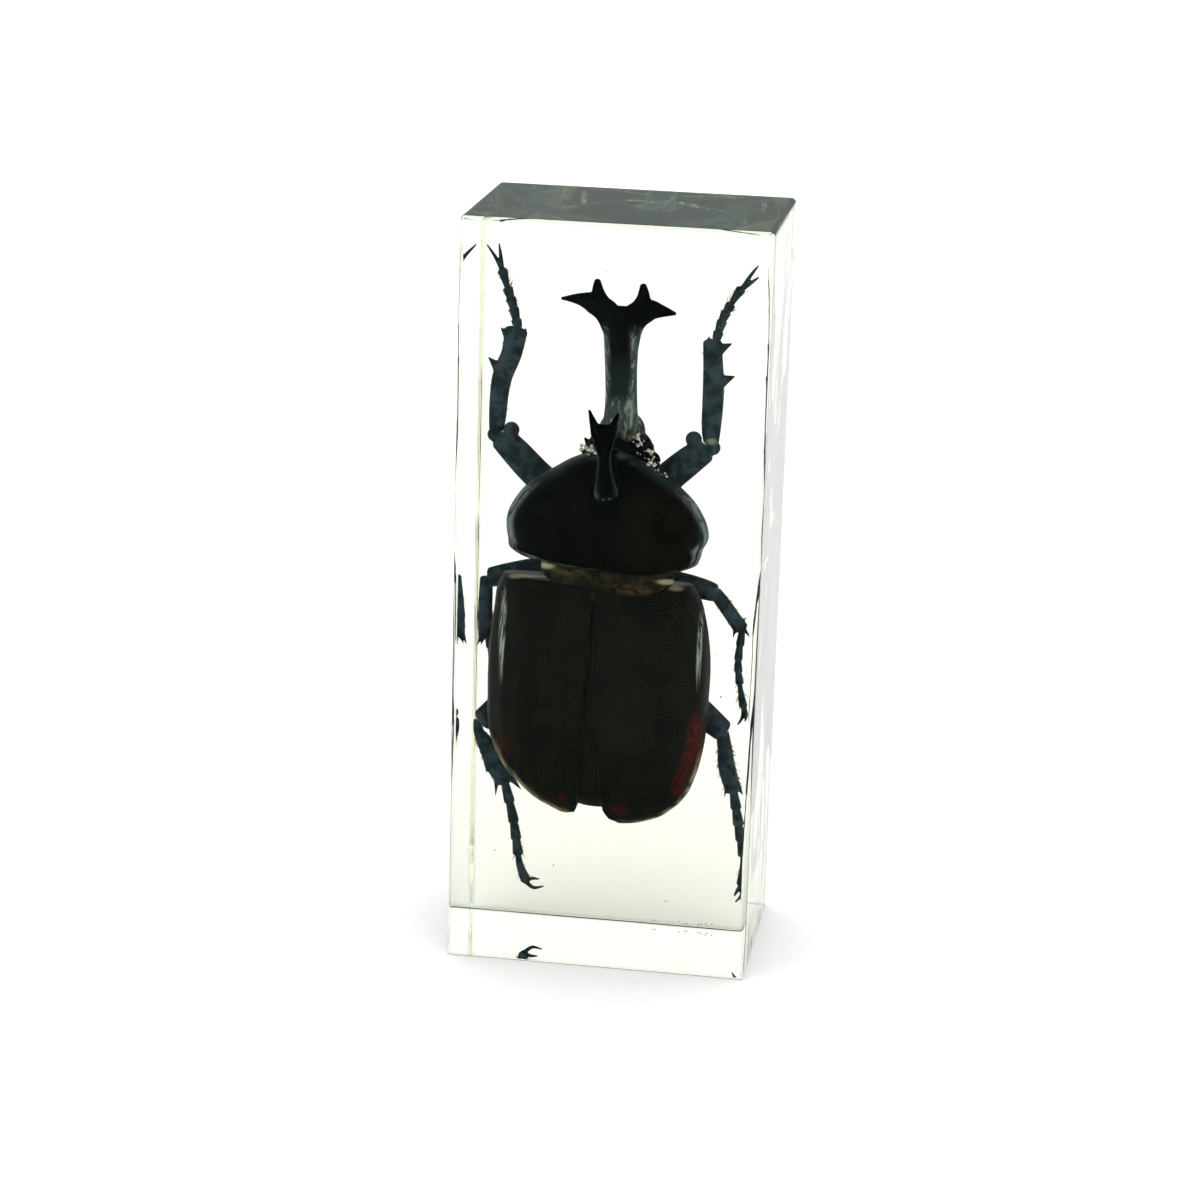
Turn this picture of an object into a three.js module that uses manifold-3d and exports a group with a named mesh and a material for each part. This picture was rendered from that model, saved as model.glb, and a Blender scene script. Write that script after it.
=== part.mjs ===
// A male rhinoceros beetle sealed in an upright block of clear cast resin.
//
// Units are millimetres and +Z is up. The origin is the centre of the block's base. The beetle
// hangs head up in the middle of the block, with its back to the front face, which is the -Y side.
// Its hard plates and leg joints are separate pieces. The block is one casting, parted here in two
// along a plane through the beetle's flanks, so that the pocket it fills is open in each half.

import * as THREE from 'three';
import { RoundedBoxGeometry } from 'three/addons/geometries/RoundedBoxGeometry.js';
import { mergeVertices } from 'three/addons/utils/BufferGeometryUtils.js';
import Module from 'manifold-3d';

const wasm = await Module();
wasm.setup();

// ---------------------------------------------------------------- driving dimensions

const BLOCK_WIDTH = 44;
const BLOCK_DEPTH = 30;
const BLOCK_HEIGHT = 110;
const BLOCK_EDGE_RADIUS = 0.5;
const PARTING_Y = 1.5;
const PARTING_GAP = 0.1;

const PLATE_GAP = 0.3; // between two plates or two leg joints that meet
const POCKET_GAP = 0.35; // between the beetle and the resin round it
const CUT_REACH = 40; // half the size of the cutting shapes, well past the beetle

const BODY_SIDES = 12;
const WING_SIDES = 16;
const HORN_SIDES = 6;
const LEG_SIDES = 6;
const TARSUS_SIDES = 4;
const SPINE_SIDES = 3;

// How square a plate's cross section is: 2 is an ellipse, and more is fuller at the shoulders.
const PLATE_FULLNESS = 2.3;

// The belly plates of the abdomen overlap towards the tail like tiles, with a low step at each edge.
const BELLY_PLATE_EDGES = [25.4, 28.8, 32.2, 35.6];
const BELLY_STEP = 0.3;
const BELLY_STEP_RISE = 0.35;

const FEMUR_FLATNESS = 0.72; // thickness of a thigh over its width
const TIBIA_FLATNESS = 0.75; // thickness of a shin over its width

// ---------------------------------------------------------------- solids from geometries

function toSolid(geometry) {
  const bare = geometry.clone();
  bare.deleteAttribute('normal');
  bare.deleteAttribute('uv');
  const merged = mergeVertices(bare, 1e-4);
  return new wasm.Manifold(new wasm.Mesh({
    numProp: 3,
    vertProperties: new Float32Array(merged.attributes.position.array),
    triVerts: new Uint32Array(merged.index.array),
  }));
}

function toMesh(name, solid, material) {
  const { vertProperties, triVerts } = solid.getMesh();
  const geometry = new THREE.BufferGeometry();
  geometry.setAttribute('position', new THREE.BufferAttribute(vertProperties, 3));
  geometry.setIndex(new THREE.BufferAttribute(triVerts, 1));
  geometry.computeVertexNormals();
  const mesh = new THREE.Mesh(geometry, material);
  mesh.name = name;
  return mesh;
}

// A closed skin over rings that all have the same number of points, with a point closing each end.
// The rings turn anticlockwise as seen from the end that they run to.
function skin(rings, start, end) {
  const sides = rings[0].length;
  const corners = [start, ...rings.flat(), end];
  const at = (row, i) => 1 + row * sides + (i % sides);
  const lastRow = rings.length - 1;
  const faces = [];
  for (let i = 0; i < sides; i += 1) {
    faces.push(0, at(0, i + 1), at(0, i));
    for (let row = 0; row < lastRow; row += 1) {
      faces.push(at(row, i), at(row, i + 1), at(row + 1, i + 1));
      faces.push(at(row, i), at(row + 1, i + 1), at(row + 1, i));
    }
    faces.push(at(lastRow, i), at(lastRow, i + 1), corners.length - 1);
  }
  const geometry = new THREE.BufferGeometry().setFromPoints(corners);
  geometry.setIndex(faces);
  return geometry;
}

// ---------------------------------------------------------------- the four forms of a beetle
//
// Each form is a function of `grow`, the distance by which it swells on every side. The beetle's
// own pieces are made with no growth, and what has to clear them is made with some.

// A plate or body ring, from sections listed tail to head as
// [z, left x, right x, back y, rim y, belly y]. Its widest line lies at the rim.
function plate(sections, sides = BODY_SIDES) {
  return (grow) => {
    const power = 2 / PLATE_FULLNESS;
    const bulge = (value) => Math.sign(value) * Math.abs(value) ** power;
    const rings = sections.map(([z, left, right, back, rim, belly]) => {
      const points = [];
      for (let i = 0; i < sides; i += 1) {
        const angle = (2 * Math.PI * i) / sides;
        const along = bulge(Math.cos(angle));
        const out = bulge(Math.sin(angle));
        const depth = out < 0 ? rim - back + grow : belly - rim + grow;
        points.push(new THREE.Vector3(
          (left + right) / 2 + along * ((right - left) / 2 + grow), rim + out * depth, z));
      }
      return points;
    });
    const pole = ([z, left, right, back, , belly], reach) => (
      new THREE.Vector3((left + right) / 2, (back + belly) / 2, z + reach));
    rings[0].forEach((point) => { point.z -= grow; });
    rings[rings.length - 1].forEach((point) => { point.z += grow; });
    return toSolid(skin(
      rings, pole(sections[0], -0.05 - grow), pole(sections[sections.length - 1], 0.05 + grow)));
  };
}

// A limb or a horn: ovals carried along a smooth curve through stations listed as
// [x, y, z, half width, half thickness]. The thickness is measured along Y.
function limb(stations, sides) {
  return (grow) => {
    const path = new THREE.CatmullRomCurve3(stations.map(([x, y, z]) => new THREE.Vector3(x, y, z)));
    const last = stations.length - 1;
    const rings = stations.map(([, , , halfWidth, halfThickness = halfWidth], step) => {
      const forward = path.getTangent(step / last);
      const thick = new THREE.Vector3(0, 1, 0).addScaledVector(forward, -forward.y).normalize();
      const wide = thick.clone().cross(forward);
      const points = [];
      for (let i = 0; i < sides; i += 1) {
        const angle = (2 * Math.PI * (i + 0.5)) / sides;
        points.push(path.getPoint(step / last)
          .addScaledVector(wide, Math.cos(angle) * (halfWidth + grow))
          .addScaledVector(thick, Math.sin(angle) * (halfThickness + grow)));
      }
      return points;
    });
    const tip = (step, way) => path.getPoint(step / last)
      .addScaledVector(path.getTangent(step / last), way * (0.4 * stations[step][3] + 1.2 * grow));
    return toSolid(skin(rings, tip(0, -1), tip(last, 1)));
  };
}

// A pointed spine, from the middle of its base to its point.
function spine(base, tip, radius) {
  return (grow) => {
    const from = new THREE.Vector3(...base);
    const along = new THREE.Vector3(...tip).sub(from);
    const length = along.length() + 3 * grow;
    const cone = new THREE.ConeGeometry(radius + grow, length, SPINE_SIDES);
    cone.translate(0, length / 2 - grow, 0);
    cone.applyQuaternion(new THREE.Quaternion().setFromUnitVectors(
      new THREE.Vector3(0, 1, 0), along.normalize()));
    cone.translate(...base);
    return toSolid(cone);
  };
}

// A rounded lump, such as the ball of a hip or a knee.
function lump(centre, radii, sides = 6) {
  return (grow) => {
    const ball = new THREE.SphereGeometry(1, sides, 4);
    ball.scale(...radii.map((radius) => radius + grow));
    ball.translate(...centre);
    return toSolid(ball);
  };
}

const fuse = (forms, grow = 0) => forms.map((form) => form(grow)).reduce((a, b) => a.add(b));

// ---------------------------------------------------------------- head

const horn = (stations) => limb(stations, HORN_SIDES);

const HEAD = [
  lump([0, 2.6, 75], [5, 3.4, 4.4], 10),
  lump([0, 4.4, 78], [3.4, 2.2, 3.2], 8),
  // the horn's stem, bending towards the back of the beetle as it rises
  horn([
    [0, 2.4, 75.5, 3.4, 2.6], [0, 1.6, 78.6, 2.75, 2.3], [0.1, 0.4, 82.3, 2.35, 2],
    [0.15, -2.4, 90, 2.4, 1.6], [0.3, -3.5, 93.2, 2.7, 1.55], [0.5, -4.2, 95.2, 3, 1.4],
    [0.6, -4.7, 96.4, 2.4, 1],
  ]),
  // the two arms, each with an outer and an inner point
  horn([
    [-0.3, -2.5, 91, 1.5, 1.1], [-1, -4.1, 94.4, 1.7, 1.45], [-2.3, -4.7, 96.4, 1.5, 1.35],
    [-3.9, -5.1, 97.6, 1.5, 1.2], [-5.5, -5.3, 98, 0.95, 0.95], [-8.3, -5.5, 98, 0.2, 0.22],
  ]),
  horn([[-2.7, -5, 97.2, 1.75, 1.2], [-3.05, -5.4, 99, 1, 0.85], [-3.15, -6, 100.95, 0.45, 0.42]]),
  horn([
    [0.8, -2.5, 91.2, 1.5, 1.1], [1.6, -4.1, 94.4, 1.7, 1.45], [2.7, -4.7, 96, 1.65, 1.35],
    [4.3, -5.1, 97, 1.55, 1.2], [5.9, -5.3, 97, 0.95, 0.95], [8.05, -5.5, 96.75, 0.2, 0.22],
  ]),
  horn([[3.1, -5, 96.8, 1.75, 1.2], [3.35, -5.4, 98.7, 1, 0.85], [3.3, -6, 100.65, 0.45, 0.42]]),
  // the pointed cheeks in front of the eyes
  spine([-3.6, 3, 74.6], [-5.5, 3.2, 77], 1.5),
  spine([3, 3, 74.2], [4.9, 3.2, 76.4], 1.5),
];

// ---------------------------------------------------------------- pronotum and its forked horn

const PRONOTUM = [
  plate([
    [58.7, -7.5, 9.4, -6.9, -0.8, 4],
    [59.4, -12.8, 11.5, -7.8, 0.3, 5],
    [60.3, -15.2, 12.1, -8.4, 0.8, 5.7],
    [61.8, -15.8, 12.5, -9, 1, 6.4],
    [63.4, -16.1, 13.25, -9.2, 1, 6.7],
    [65, -16.05, 13.1, -9.1, 1, 6.7],
    [67.4, -15, 12, -8.5, 1, 6.4],
    [70.2, -12.7, 9.6, -7.4, 1, 5.7],
    [72.6, -9.2, 6.2, -6, 0.8, 4.8],
    [74.6, -5.8, 3, -4.2, 0.3, 3.4],
    [75.9, -2.2, 0.4, -2, -0.4, 1.2],
  ]),
  // the stem rises from the shield and bends forward over the head
  horn([
    [-0.9, -6.6, 69, 2, 1.6], [-1, -9, 72.4, 1.4, 1.4], [-1.07, -10.8, 76.2, 0.93, 1.1],
    [-1.12, -11.3, 78.2, 1.4, 1], [-1.15, -11.65, 80.6, 1.8, 0.8],
  ]),
  horn([[-2.05, -11.6, 79.6, 0.95, 0.85], [-3.25, -12.2, 83.3, 0.2, 0.2]]),
  horn([[-0.25, -11.6, 79.6, 0.95, 0.85], [0.95, -12.2, 83.2, 0.2, 0.2]]),
  // the hips of the front legs
  lump([-4.6, 5.6, 65.6], [2.6, 2.8, 3]),
  lump([2, 5.6, 66], [2.6, 2.8, 3]),
];

// ---------------------------------------------------------------- thorax and abdomen

const TRUNK_SECTIONS = [
  [21.7, -4.6, 1.2, -0.4, 1.4, 2.6],
  [22.8, -9, 5.9, -2.2, 1.7, 3.8],
  [26.8, -14, 10.4, -5.3, 1.8, 5.2],
  [30.3, -16, 12, -6.8, 1.8, 5.8],
  [35, -17, 12.6, -7.7, 1.8, 6.3],
  [41, -17.3, 12.9, -8.1, 1.8, 6.7],
  [47.4, -16.9, 12.7, -7.7, 1.8, 6.7],
  [51.2, -16, 11.9, -7, 1.6, 6.5],
  [54.4, -13, 9.6, -6, 1, 6],
  [57, -8.6, 6, -4.6, 0.4, 4.6],
];

const TRUNK_FOOT = TRUNK_SECTIONS[0][0];

// The section at one height, by straight interpolation between the two round it.
function sectionAt(sections, z) {
  const above = sections.findIndex((section) => section[0] >= z);
  const [low, high] = [sections[above - 1], sections[above]];
  const t = (z - low[0]) / (high[0] - low[0]);
  return low.map((value, i) => THREE.MathUtils.lerp(value, high[i], t));
}

// The trunk's sections with the abdomen's belly plates stepped out of them.
function steppedTrunk() {
  const [first, second] = BELLY_PLATE_EDGES;
  const lastEdge = BELLY_PLATE_EDGES[BELLY_PLATE_EDGES.length - 1];
  const steps = BELLY_PLATE_EDGES.flatMap((edge) => {
    const raised = sectionAt(TRUNK_SECTIONS, edge);
    raised[5] += BELLY_STEP;
    return [sectionAt(TRUNK_SECTIONS, edge - BELLY_STEP_RISE), raised];
  });
  const tail = TRUNK_SECTIONS.filter(([z]) => z < first - (second - first) / 2);
  const chest = TRUNK_SECTIONS.filter(([z]) => z > lastEdge);
  return [...tail, ...steps, ...chest];
}

// The hips of the middle and hind legs.
const HIPS = [
  lump([-4.6, 5.8, 54.6], [2.4, 2.4, 2.2]),
  lump([1.3, 5.8, 54.4], [2.4, 2.4, 2.2]),
  lump([-6.6, 5.7, 42.6], [4.8, 2.3, 2.2]),
  lump([2.4, 5.7, 42.2], [4.8, 2.3, 2.2]),
];

const BODY = [plate(steppedTrunk()), ...HIPS];

// ---------------------------------------------------------------- scutellum and wing cases

const SCUTELLUM = [
  plate([
    [54.4, -3.8, 0.6, -7, -6.1, -5.2],
    [55, -5.6, 3.4, -6.9, -5.8, -4.8],
    [56, -7.7, 6.6, -6.6, -5.4, -4.4],
    [57, -9.4, 8.6, -6.2, -5, -4],
    [59.2, -10.4, 8.6, -5.5, -4.5, -3.5],
  ], 12),
];

// Both wing cases together, as one domed shell with a rim that turns in under the flanks.
const WING_SECTIONS = [
  [19.2, -5.4, 4.4, 0.4, 1.6, 2.2],
  [20, -7.3, 6.8, -0.7, 1.8, 2.5],
  [21.6, -10.6, 9.2, -2.6, 2, 2.8],
  [24.3, -13.8, 11.5, -4.9, 2, 2.9],
  [27.1, -16.2, 12.6, -6.5, 2, 3],
  [31.4, -18, 13.6, -8.2, 2, 3],
  [38.5, -18.5, 14.1, -9.25, 2, 3],
  [46, -18.3, 14.1, -9.15, 2, 3],
  [51.2, -17.7, 13.3, -8.4, 2, 2.9],
  [54.6, -17.2, 12.3, -7.5, 1.8, 2.7],
  [56.5, -16.3, 11.2, -6.7, 1.4, 2.3],
];

// The inner edge of each wing case as [x, z] points, from below its tip to above its shoulder. The
// cases stand a little apart, so the slit between them opens towards the tip, and the left one
// ends a little higher than the right.
const LEFT_SEAM = [
  [-11, 15], [-7.9, 19.9], [-6.2, 20.1], [-4.9, 20.6], [-4.4, 22], [-3.3, 40], [-2.7, 53], [-2.7, 60],
];
const RIGHT_SEAM = [
  [1.8, 15], [1.3, 19.2], [0.1, 19.8], [-0.6, 21.4], [-1.9, 40], [-2.3, 53], [-2.3, 60],
];

// Everything on one side of a seam: -1 is the side towards -X, and 1 the side towards +X.
function beyondSeam(seam, side) {
  const ends = [seam[seam.length - 1], seam[0]];
  const outline = [...seam, ...ends.map(([, z]) => [side * CUT_REACH, z])];
  const shape = new THREE.Shape(outline.map(([x, z]) => new THREE.Vector2(x, z)));
  const geometry = new THREE.ExtrudeGeometry(shape, { depth: 2 * CUT_REACH, bevelEnabled: false });
  geometry.rotateX(Math.PI / 2);
  geometry.translate(0, CUT_REACH, 0);
  return toSolid(geometry);
}

// ---------------------------------------------------------------- legs
//
// Stations run outwards from the hip, as [x, y, z, half width]. `knee` lists the balls at the end
// of a thigh, `spines` the teeth and spurs of a shin as [base, tip, radius], `toes` the path of the
// five-beaded tarsus, and `claws` its two hooks as [root, bend, tip].

const LEGS = {
  front_left: {
    femur: [[-6.6, 7.2, 66.4, 2], [-9.6, 7.6, 67.9, 2.3], [-12.5, 7.5, 70.1, 2.3],
      [-15.6, 7.2, 73.2, 2.2], [-17.7, 7, 75.3, 1.95]],
    knee: [[[-16.4, 6.8, 76.7], [1.2, 1.2, 1.2]], [[-18.95, 7, 75.8], [1.05, 1.1, 1.05]]],
    tibia: [[-18.75, 7.1, 75.6, 0.95], [-18.6, 7.5, 78.2, 1.28], [-18.4, 7.8, 82, 1.4],
      [-18, 8, 84.5, 1.5], [-16.8, 8.5, 87.8, 1.53], [-16.3, 9, 91, 1.7]],
    spines: [[[-18.2, 8.1, 85.1], [-20.15, 7.9, 87.05], 1.25], [[-17, 9, 89.8], [-18.55, 9, 91.35], 1.15],
      [[-15, 9, 90.6], [-14.8, 9, 91.6], 0.4]],
    toes: [[-15.95, 9.1, 91.1], [-16.9, 10, 94.4], [-18, 10.7, 97.4], [-18.75, 11.2, 99.6]],
    toeRadius: 0.74,
    claws: [[[-18.75, 11.2, 99.4], [-19.8, 11.9, 101.1], [-21.2, 12.8, 102.8]],
      [[-18.75, 11.2, 99.4], [-19.1, 11.9, 101.5], [-19.4, 12.3, 103.15]]],
  },
  front_right: {
    femur: [[3.6, 7.2, 67.6, 2], [5.2, 7.6, 69.4, 2.3], [7, 7.5, 71.3, 2.25], [9.6, 7.2, 73.7, 2.15],
      [11.6, 7, 75.4, 1.95]],
    knee: [[[10.2, 6.8, 77], [1.2, 1.2, 1.2]], [[13, 7, 75.9], [1.1, 1.1, 1.1]]],
    tibia: [[12.75, 7.1, 75.6, 0.95], [12.6, 7.5, 78.2, 1.36], [12.65, 8.1, 83.2, 1.55],
      [12.5, 8.6, 86.8, 1.48], [12.15, 9.1, 91, 1.35]],
    spines: [[[13.3, 8.8, 85.3], [15.6, 8.8, 86.3], 1.25], [[12.9, 9, 89.9], [15, 9, 91], 1.1],
      [[11.5, 9.2, 91], [11.7, 9.2, 91.95], 0.4]],
    toes: [[12.6, 9.1, 91], [13.5, 10.2, 94.4], [14.7, 10.8, 96.8], [15.9, 11.2, 98.8]],
    toeRadius: 0.72,
    claws: [[[15.9, 11.2, 98.6], [17, 11.8, 100.5], [18.05, 12.2, 102.05]],
      [[15.9, 11.2, 98.6], [17.3, 11.6, 99.7], [18.2, 11.8, 100.45]]],
  },
  middle_left: {
    femur: [[-6.8, 8, 55.5, 1.9], [-11.6, 7.8, 55.7, 1.95], [-16.3, 7.2, 54.9, 1.75],
      [-19, 7, 54.3, 1.5]],
    knee: [],
    tibia: [[-19.7, 7.1, 54, 1], [-19.9, 8, 49, 1.1], [-19.8, 9, 44.9, 1.25]],
    spines: [[[-20.6, 8.1, 48.8], [-21.2, 8.1, 47.5], 0.45], [[-20.5, 8.7, 47.4], [-21.15, 8.8, 46], 0.4],
      [[-20.4, 9.2, 45.6], [-21.3, 9.7, 42.9], 0.5], [[-20, 9.2, 45], [-20.9, 9.9, 42.8], 0.4],
      [[-19.2, 9.2, 45], [-18.8, 9.4, 43], 0.5]],
    toes: [[-19.6, 9.3, 44.6], [-18.6, 10.1, 40], [-16.9, 10.9, 33.4]],
    toeRadius: 0.6,
    claws: [[[-16.9, 10.9, 33.7], [-16.6, 11.1, 32.4], [-15.6, 11.3, 31.4]],
      [[-16.9, 10.9, 33.7], [-17.2, 11.1, 32.2], [-16.7, 11.4, 30.9]]],
  },
  middle_right: {
    femur: [[3.6, 8, 55.2, 1.9], [8.1, 7.8, 55.2, 1.83], [12.2, 7.2, 54.7, 1.6], [14, 7, 54.3, 1.4]],
    knee: [],
    tibia: [[14.1, 7.1, 54.3, 1], [15.4, 7.6, 52.6, 1.08], [17.9, 8.7, 48.9, 1.12]],
    spines: [[[17.8, 8.6, 49.8], [19, 8.8, 50.8], 0.3], [[17.2, 8.6, 49], [16.8, 8.8, 46.9], 0.4],
      [[18.3, 8.7, 48.9], [19.4, 8.8, 47.4], 0.4]],
    toes: [[18.1, 9, 48.3], [17.7, 9.7, 43.4], [18.1, 10, 39.6], [18.7, 10, 36.4]],
    toeRadius: 0.58,
    claws: [[[18.7, 10, 36.7], [18.6, 10.2, 35], [18, 10.3, 33.7]],
      [[18.7, 10, 36.7], [19.1, 9.9, 35.4], [19, 9.8, 34.4]]],
  },
  hind_left: {
    femur: [[-9.4, 8.2, 41.2, 2.1], [-12.4, 7.6, 39, 2.35], [-15, 6.6, 36.8, 2.3],
      [-17.5, 5.3, 34.4, 2.05], [-19.5, 4.3, 32.7, 1.75]],
    knee: [],
    tibia: [[-20.1, 4.2, 32.5, 0.85], [-20.2, 4.5, 31.1, 0.78], [-19.5, 5, 29.5, 1.15],
      [-18.5, 5.8, 27.6, 1.5], [-17.6, 6.5, 25.4, 1.7], [-16.4, 7.4, 22.8, 1.4]],
    spines: [[[-19.6, 5.6, 28.2], [-20.15, 5.6, 27.1], 0.35],
      [[-19.1, 6.2, 26], [-19.05, 6.3, 23.8], 0.5], [[-17.6, 7.5, 23], [-17.8, 7.8, 19.9], 0.5],
      [[-15.5, 7.4, 23.3], [-13.8, 7.6, 21.35], 0.6]],
    toes: [[-16.4, 7.7, 22.4], [-15.2, 9.3, 16.4], [-14.6, 10.5, 11.6], [-14.2, 11.2, 8.6],
      [-13.2, 11.8, 5.8]],
    toeRadius: 0.78,
    claws: [[[-13.2, 11.8, 5.7], [-12.1, 12, 4.9], [-10.6, 12.2, 5.2]],
      [[-13.2, 11.8, 6], [-12.4, 12, 6.35], [-11.25, 12, 6.35]]],
  },
  hind_right: {
    femur: [[5.2, 8.2, 41, 2.1], [8, 8, 39.4, 2.3], [11, 7.2, 37.3, 2.15], [13.9, 6.2, 35.2, 2],
      [16.1, 5.4, 33.7, 1.75]],
    knee: [],
    tibia: [[16.1, 5.5, 33.4, 1], [16.5, 6.1, 31, 1.1], [16.9, 6.9, 27.7, 1.3], [17.9, 7.8, 24, 1.2]],
    spines: [[[17, 7.7, 24.5], [16.6, 7.8, 22.6], 0.4], [[18.6, 7.7, 24.6], [19.4, 7.8, 23.2], 0.45]],
    toes: [[18, 8, 23.5], [18.8, 9.3, 18], [19.6, 10, 12.6], [19.5, 10, 8.4]],
    toeRadius: 0.74,
    claws: [[[19.5, 10, 8.7], [19.5, 10.2, 7], [18.7, 10.3, 5.7]],
      [[19.5, 10, 8.7], [18.9, 10.1, 7.6], [18.5, 10.2, 6.7]]],
  },
};

const flattened = (stations, flatness) => stations.map((station) => [
  ...station, station[3] * flatness]);

const CLAW_RADII = [0.38, 0.3, 0.12];
const SHEATH_SLACK = 0.2;

const claw = (points) => limb(points.map((point, i) => [...point, CLAW_RADII[i]]), SPINE_SIDES);

const knees = (leg) => leg.knee.map(([centre, radii]) => lump(centre, radii));

const spines = (leg) => leg.spines.map(([base, tip, radius]) => spine(base, tip, radius));

// Each bead of a tarsus is narrow at its root and flares to its end; the last is the longest.
const BEAD_ENDS = [0.17, 0.34, 0.5, 0.66, 1];
const BEAD_WAIST = 0.6;
const BEAD_GROOVE = 0.02;

function beads({ toes, toeRadius }) {
  const curve = new THREE.CatmullRomCurve3(toes.map((point) => new THREE.Vector3(...point)));
  return BEAD_ENDS.flatMap((end, i) => {
    const root = i ? BEAD_ENDS[i - 1] : 0;
    return [[root + BEAD_GROOVE, BEAD_WAIST], [end - BEAD_GROOVE, 1]].map(([t, swell]) => (
      [...curve.getPoint(t).toArray(), toeRadius * swell]));
  });
}

const legForms = (leg) => ({
  femur: [limb(flattened(leg.femur, FEMUR_FLATNESS), LEG_SIDES), ...knees(leg)],
  tibia: [limb(flattened(leg.tibia, TIBIA_FLATNESS), LEG_SIDES), ...spines(leg)],
  tarsus: [limb(beads(leg), TARSUS_SIDES), ...leg.claws.map(claw)],
});

// The hollow that a leg fills in the resin: its thigh, and one limb from the knee to the spread of
// the claws, with the knee's balls and the spines.
function sheath(leg) {
  const tips = leg.claws.map((points) => new THREE.Vector3(...points[2]));
  const spread = tips[0].distanceTo(tips[1]) / 2 + CLAW_RADII[1];
  const between = tips[0].clone().lerp(tips[1], 0.5).toArray();
  const toes = leg.toes.map((point) => [...point, leg.toeRadius + SHEATH_SLACK]);
  return [
    limb(flattened(leg.femur, FEMUR_FLATNESS), LEG_SIDES),
    limb([
      ...flattened(leg.tibia, TIBIA_FLATNESS), ...toes.slice(1),
      [...between, spread, 2 * CLAW_RADII[1]],
    ], LEG_SIDES),
    ...knees(leg), ...spines(leg),
  ];
}

// ---------------------------------------------------------------- pieces of the beetle

const solids = {};

solids.head = fuse(HEAD);
solids.scutellum = fuse(SCUTELLUM);
solids.body = fuse(BODY).subtract(fuse(SCUTELLUM, PLATE_GAP));
solids.pronotum = fuse(PRONOTUM)
  .subtract(fuse(HEAD, PLATE_GAP))
  .subtract(fuse(BODY, PLATE_GAP))
  .subtract(fuse(SCUTELLUM, PLATE_GAP));

const wingCases = plate(WING_SECTIONS, WING_SIDES)(0)
  .subtract(plate(TRUNK_SECTIONS)(PLATE_GAP))
  .subtract(fuse(SCUTELLUM, PLATE_GAP));
solids.elytron_left = wingCases.subtract(beyondSeam(LEFT_SEAM, 1));
solids.elytron_right = wingCases.subtract(beyondSeam(RIGHT_SEAM, -1));

const trunkClearance = fuse([...BODY, ...PRONOTUM], PLATE_GAP);
Object.entries(LEGS).forEach(([name, leg]) => {
  const { femur, tibia, tarsus } = legForms(leg);
  solids[`${name}_femur`] = fuse(femur).subtract(trunkClearance);
  solids[`${name}_tibia`] = fuse(tibia).subtract(fuse(femur, PLATE_GAP));
  solids[`${name}_tarsus`] = fuse(tarsus).subtract(fuse(tibia, PLATE_GAP));
});

// ---------------------------------------------------------------- the resin

// The wing cases' outline with the trunk's belly, closed at the neck round the scutellum.
const casedTrunk = [
  ...WING_SECTIONS.map(([z, left, right, back, rim, belly]) => (
    [z, left, right, back, rim, z > TRUNK_FOOT ? sectionAt(TRUNK_SECTIONS, z)[5] : belly])),
  [58.2, -13, 11, -7.2, 0.4, 4.6],
];

const pocket = fuse([
  plate(casedTrunk, WING_SIDES), ...HIPS, ...SCUTELLUM, ...PRONOTUM, ...HEAD,
  ...Object.values(LEGS).flatMap(sheath),
], POCKET_GAP);

function resinHalf(nearY, farY) {
  const block = new RoundedBoxGeometry(
    BLOCK_WIDTH, BLOCK_DEPTH, BLOCK_HEIGHT, 2, BLOCK_EDGE_RADIUS);
  block.translate(0, 0, BLOCK_HEIGHT / 2);
  const slab = new THREE.BoxGeometry(2 * BLOCK_WIDTH, farY - nearY, 3 * BLOCK_HEIGHT);
  slab.translate(0, (nearY + farY) / 2, BLOCK_HEIGHT / 2);
  return toSolid(block).intersect(toSolid(slab)).subtract(pocket);
}

solids.resin_front = resinHalf(-BLOCK_DEPTH, PARTING_Y - PARTING_GAP / 2);
solids.resin_back = resinHalf(PARTING_Y + PARTING_GAP / 2, BLOCK_DEPTH);

// ---------------------------------------------------------------- materials and the scene graph

const chitin = (color, roughness) => new THREE.MeshStandardMaterial({
  color, roughness, metalness: 0,
});

const FINISHES = {
  resin: () => new THREE.MeshStandardMaterial({
    color: 0xe6ebe0, roughness: 0.06, metalness: 0, transparent: true, opacity: 0.25,
  }),
  head: () => chitin(0x15181a, 0.3),
  pronotum: () => chitin(0x12110f, 0.35),
  scutellum: () => chitin(0x4a3d22, 0.45),
  body: () => chitin(0x33200f, 0.5),
  elytron: () => chitin(0x160d0b, 0.3),
  leg: () => chitin(0x1b2226, 0.35),
};

function finishOf(name) {
  const kind = Object.keys(FINISHES).find((key) => name.startsWith(key)) ?? 'leg';
  return FINISHES[kind]();
}

const insectInResinBlock = new THREE.Group();
Object.entries(solids).forEach(([name, solid]) => {
  insectInResinBlock.add(toMesh(name, solid, finishOf(name)));
});

export default insectInResinBlock;
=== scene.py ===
# %% [markdown]
# # A rhinoceros beetle in a block of clear resin
# The object is a paperweight: a dried male rhinoceros beetle, sealed in an upright block of clear
# cast resin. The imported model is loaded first, because every piece made here stands where the
# frame says. All tables below are in millimetres, and a mesh is turned to metres at the very end.

# %% Load the frame
import math

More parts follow.
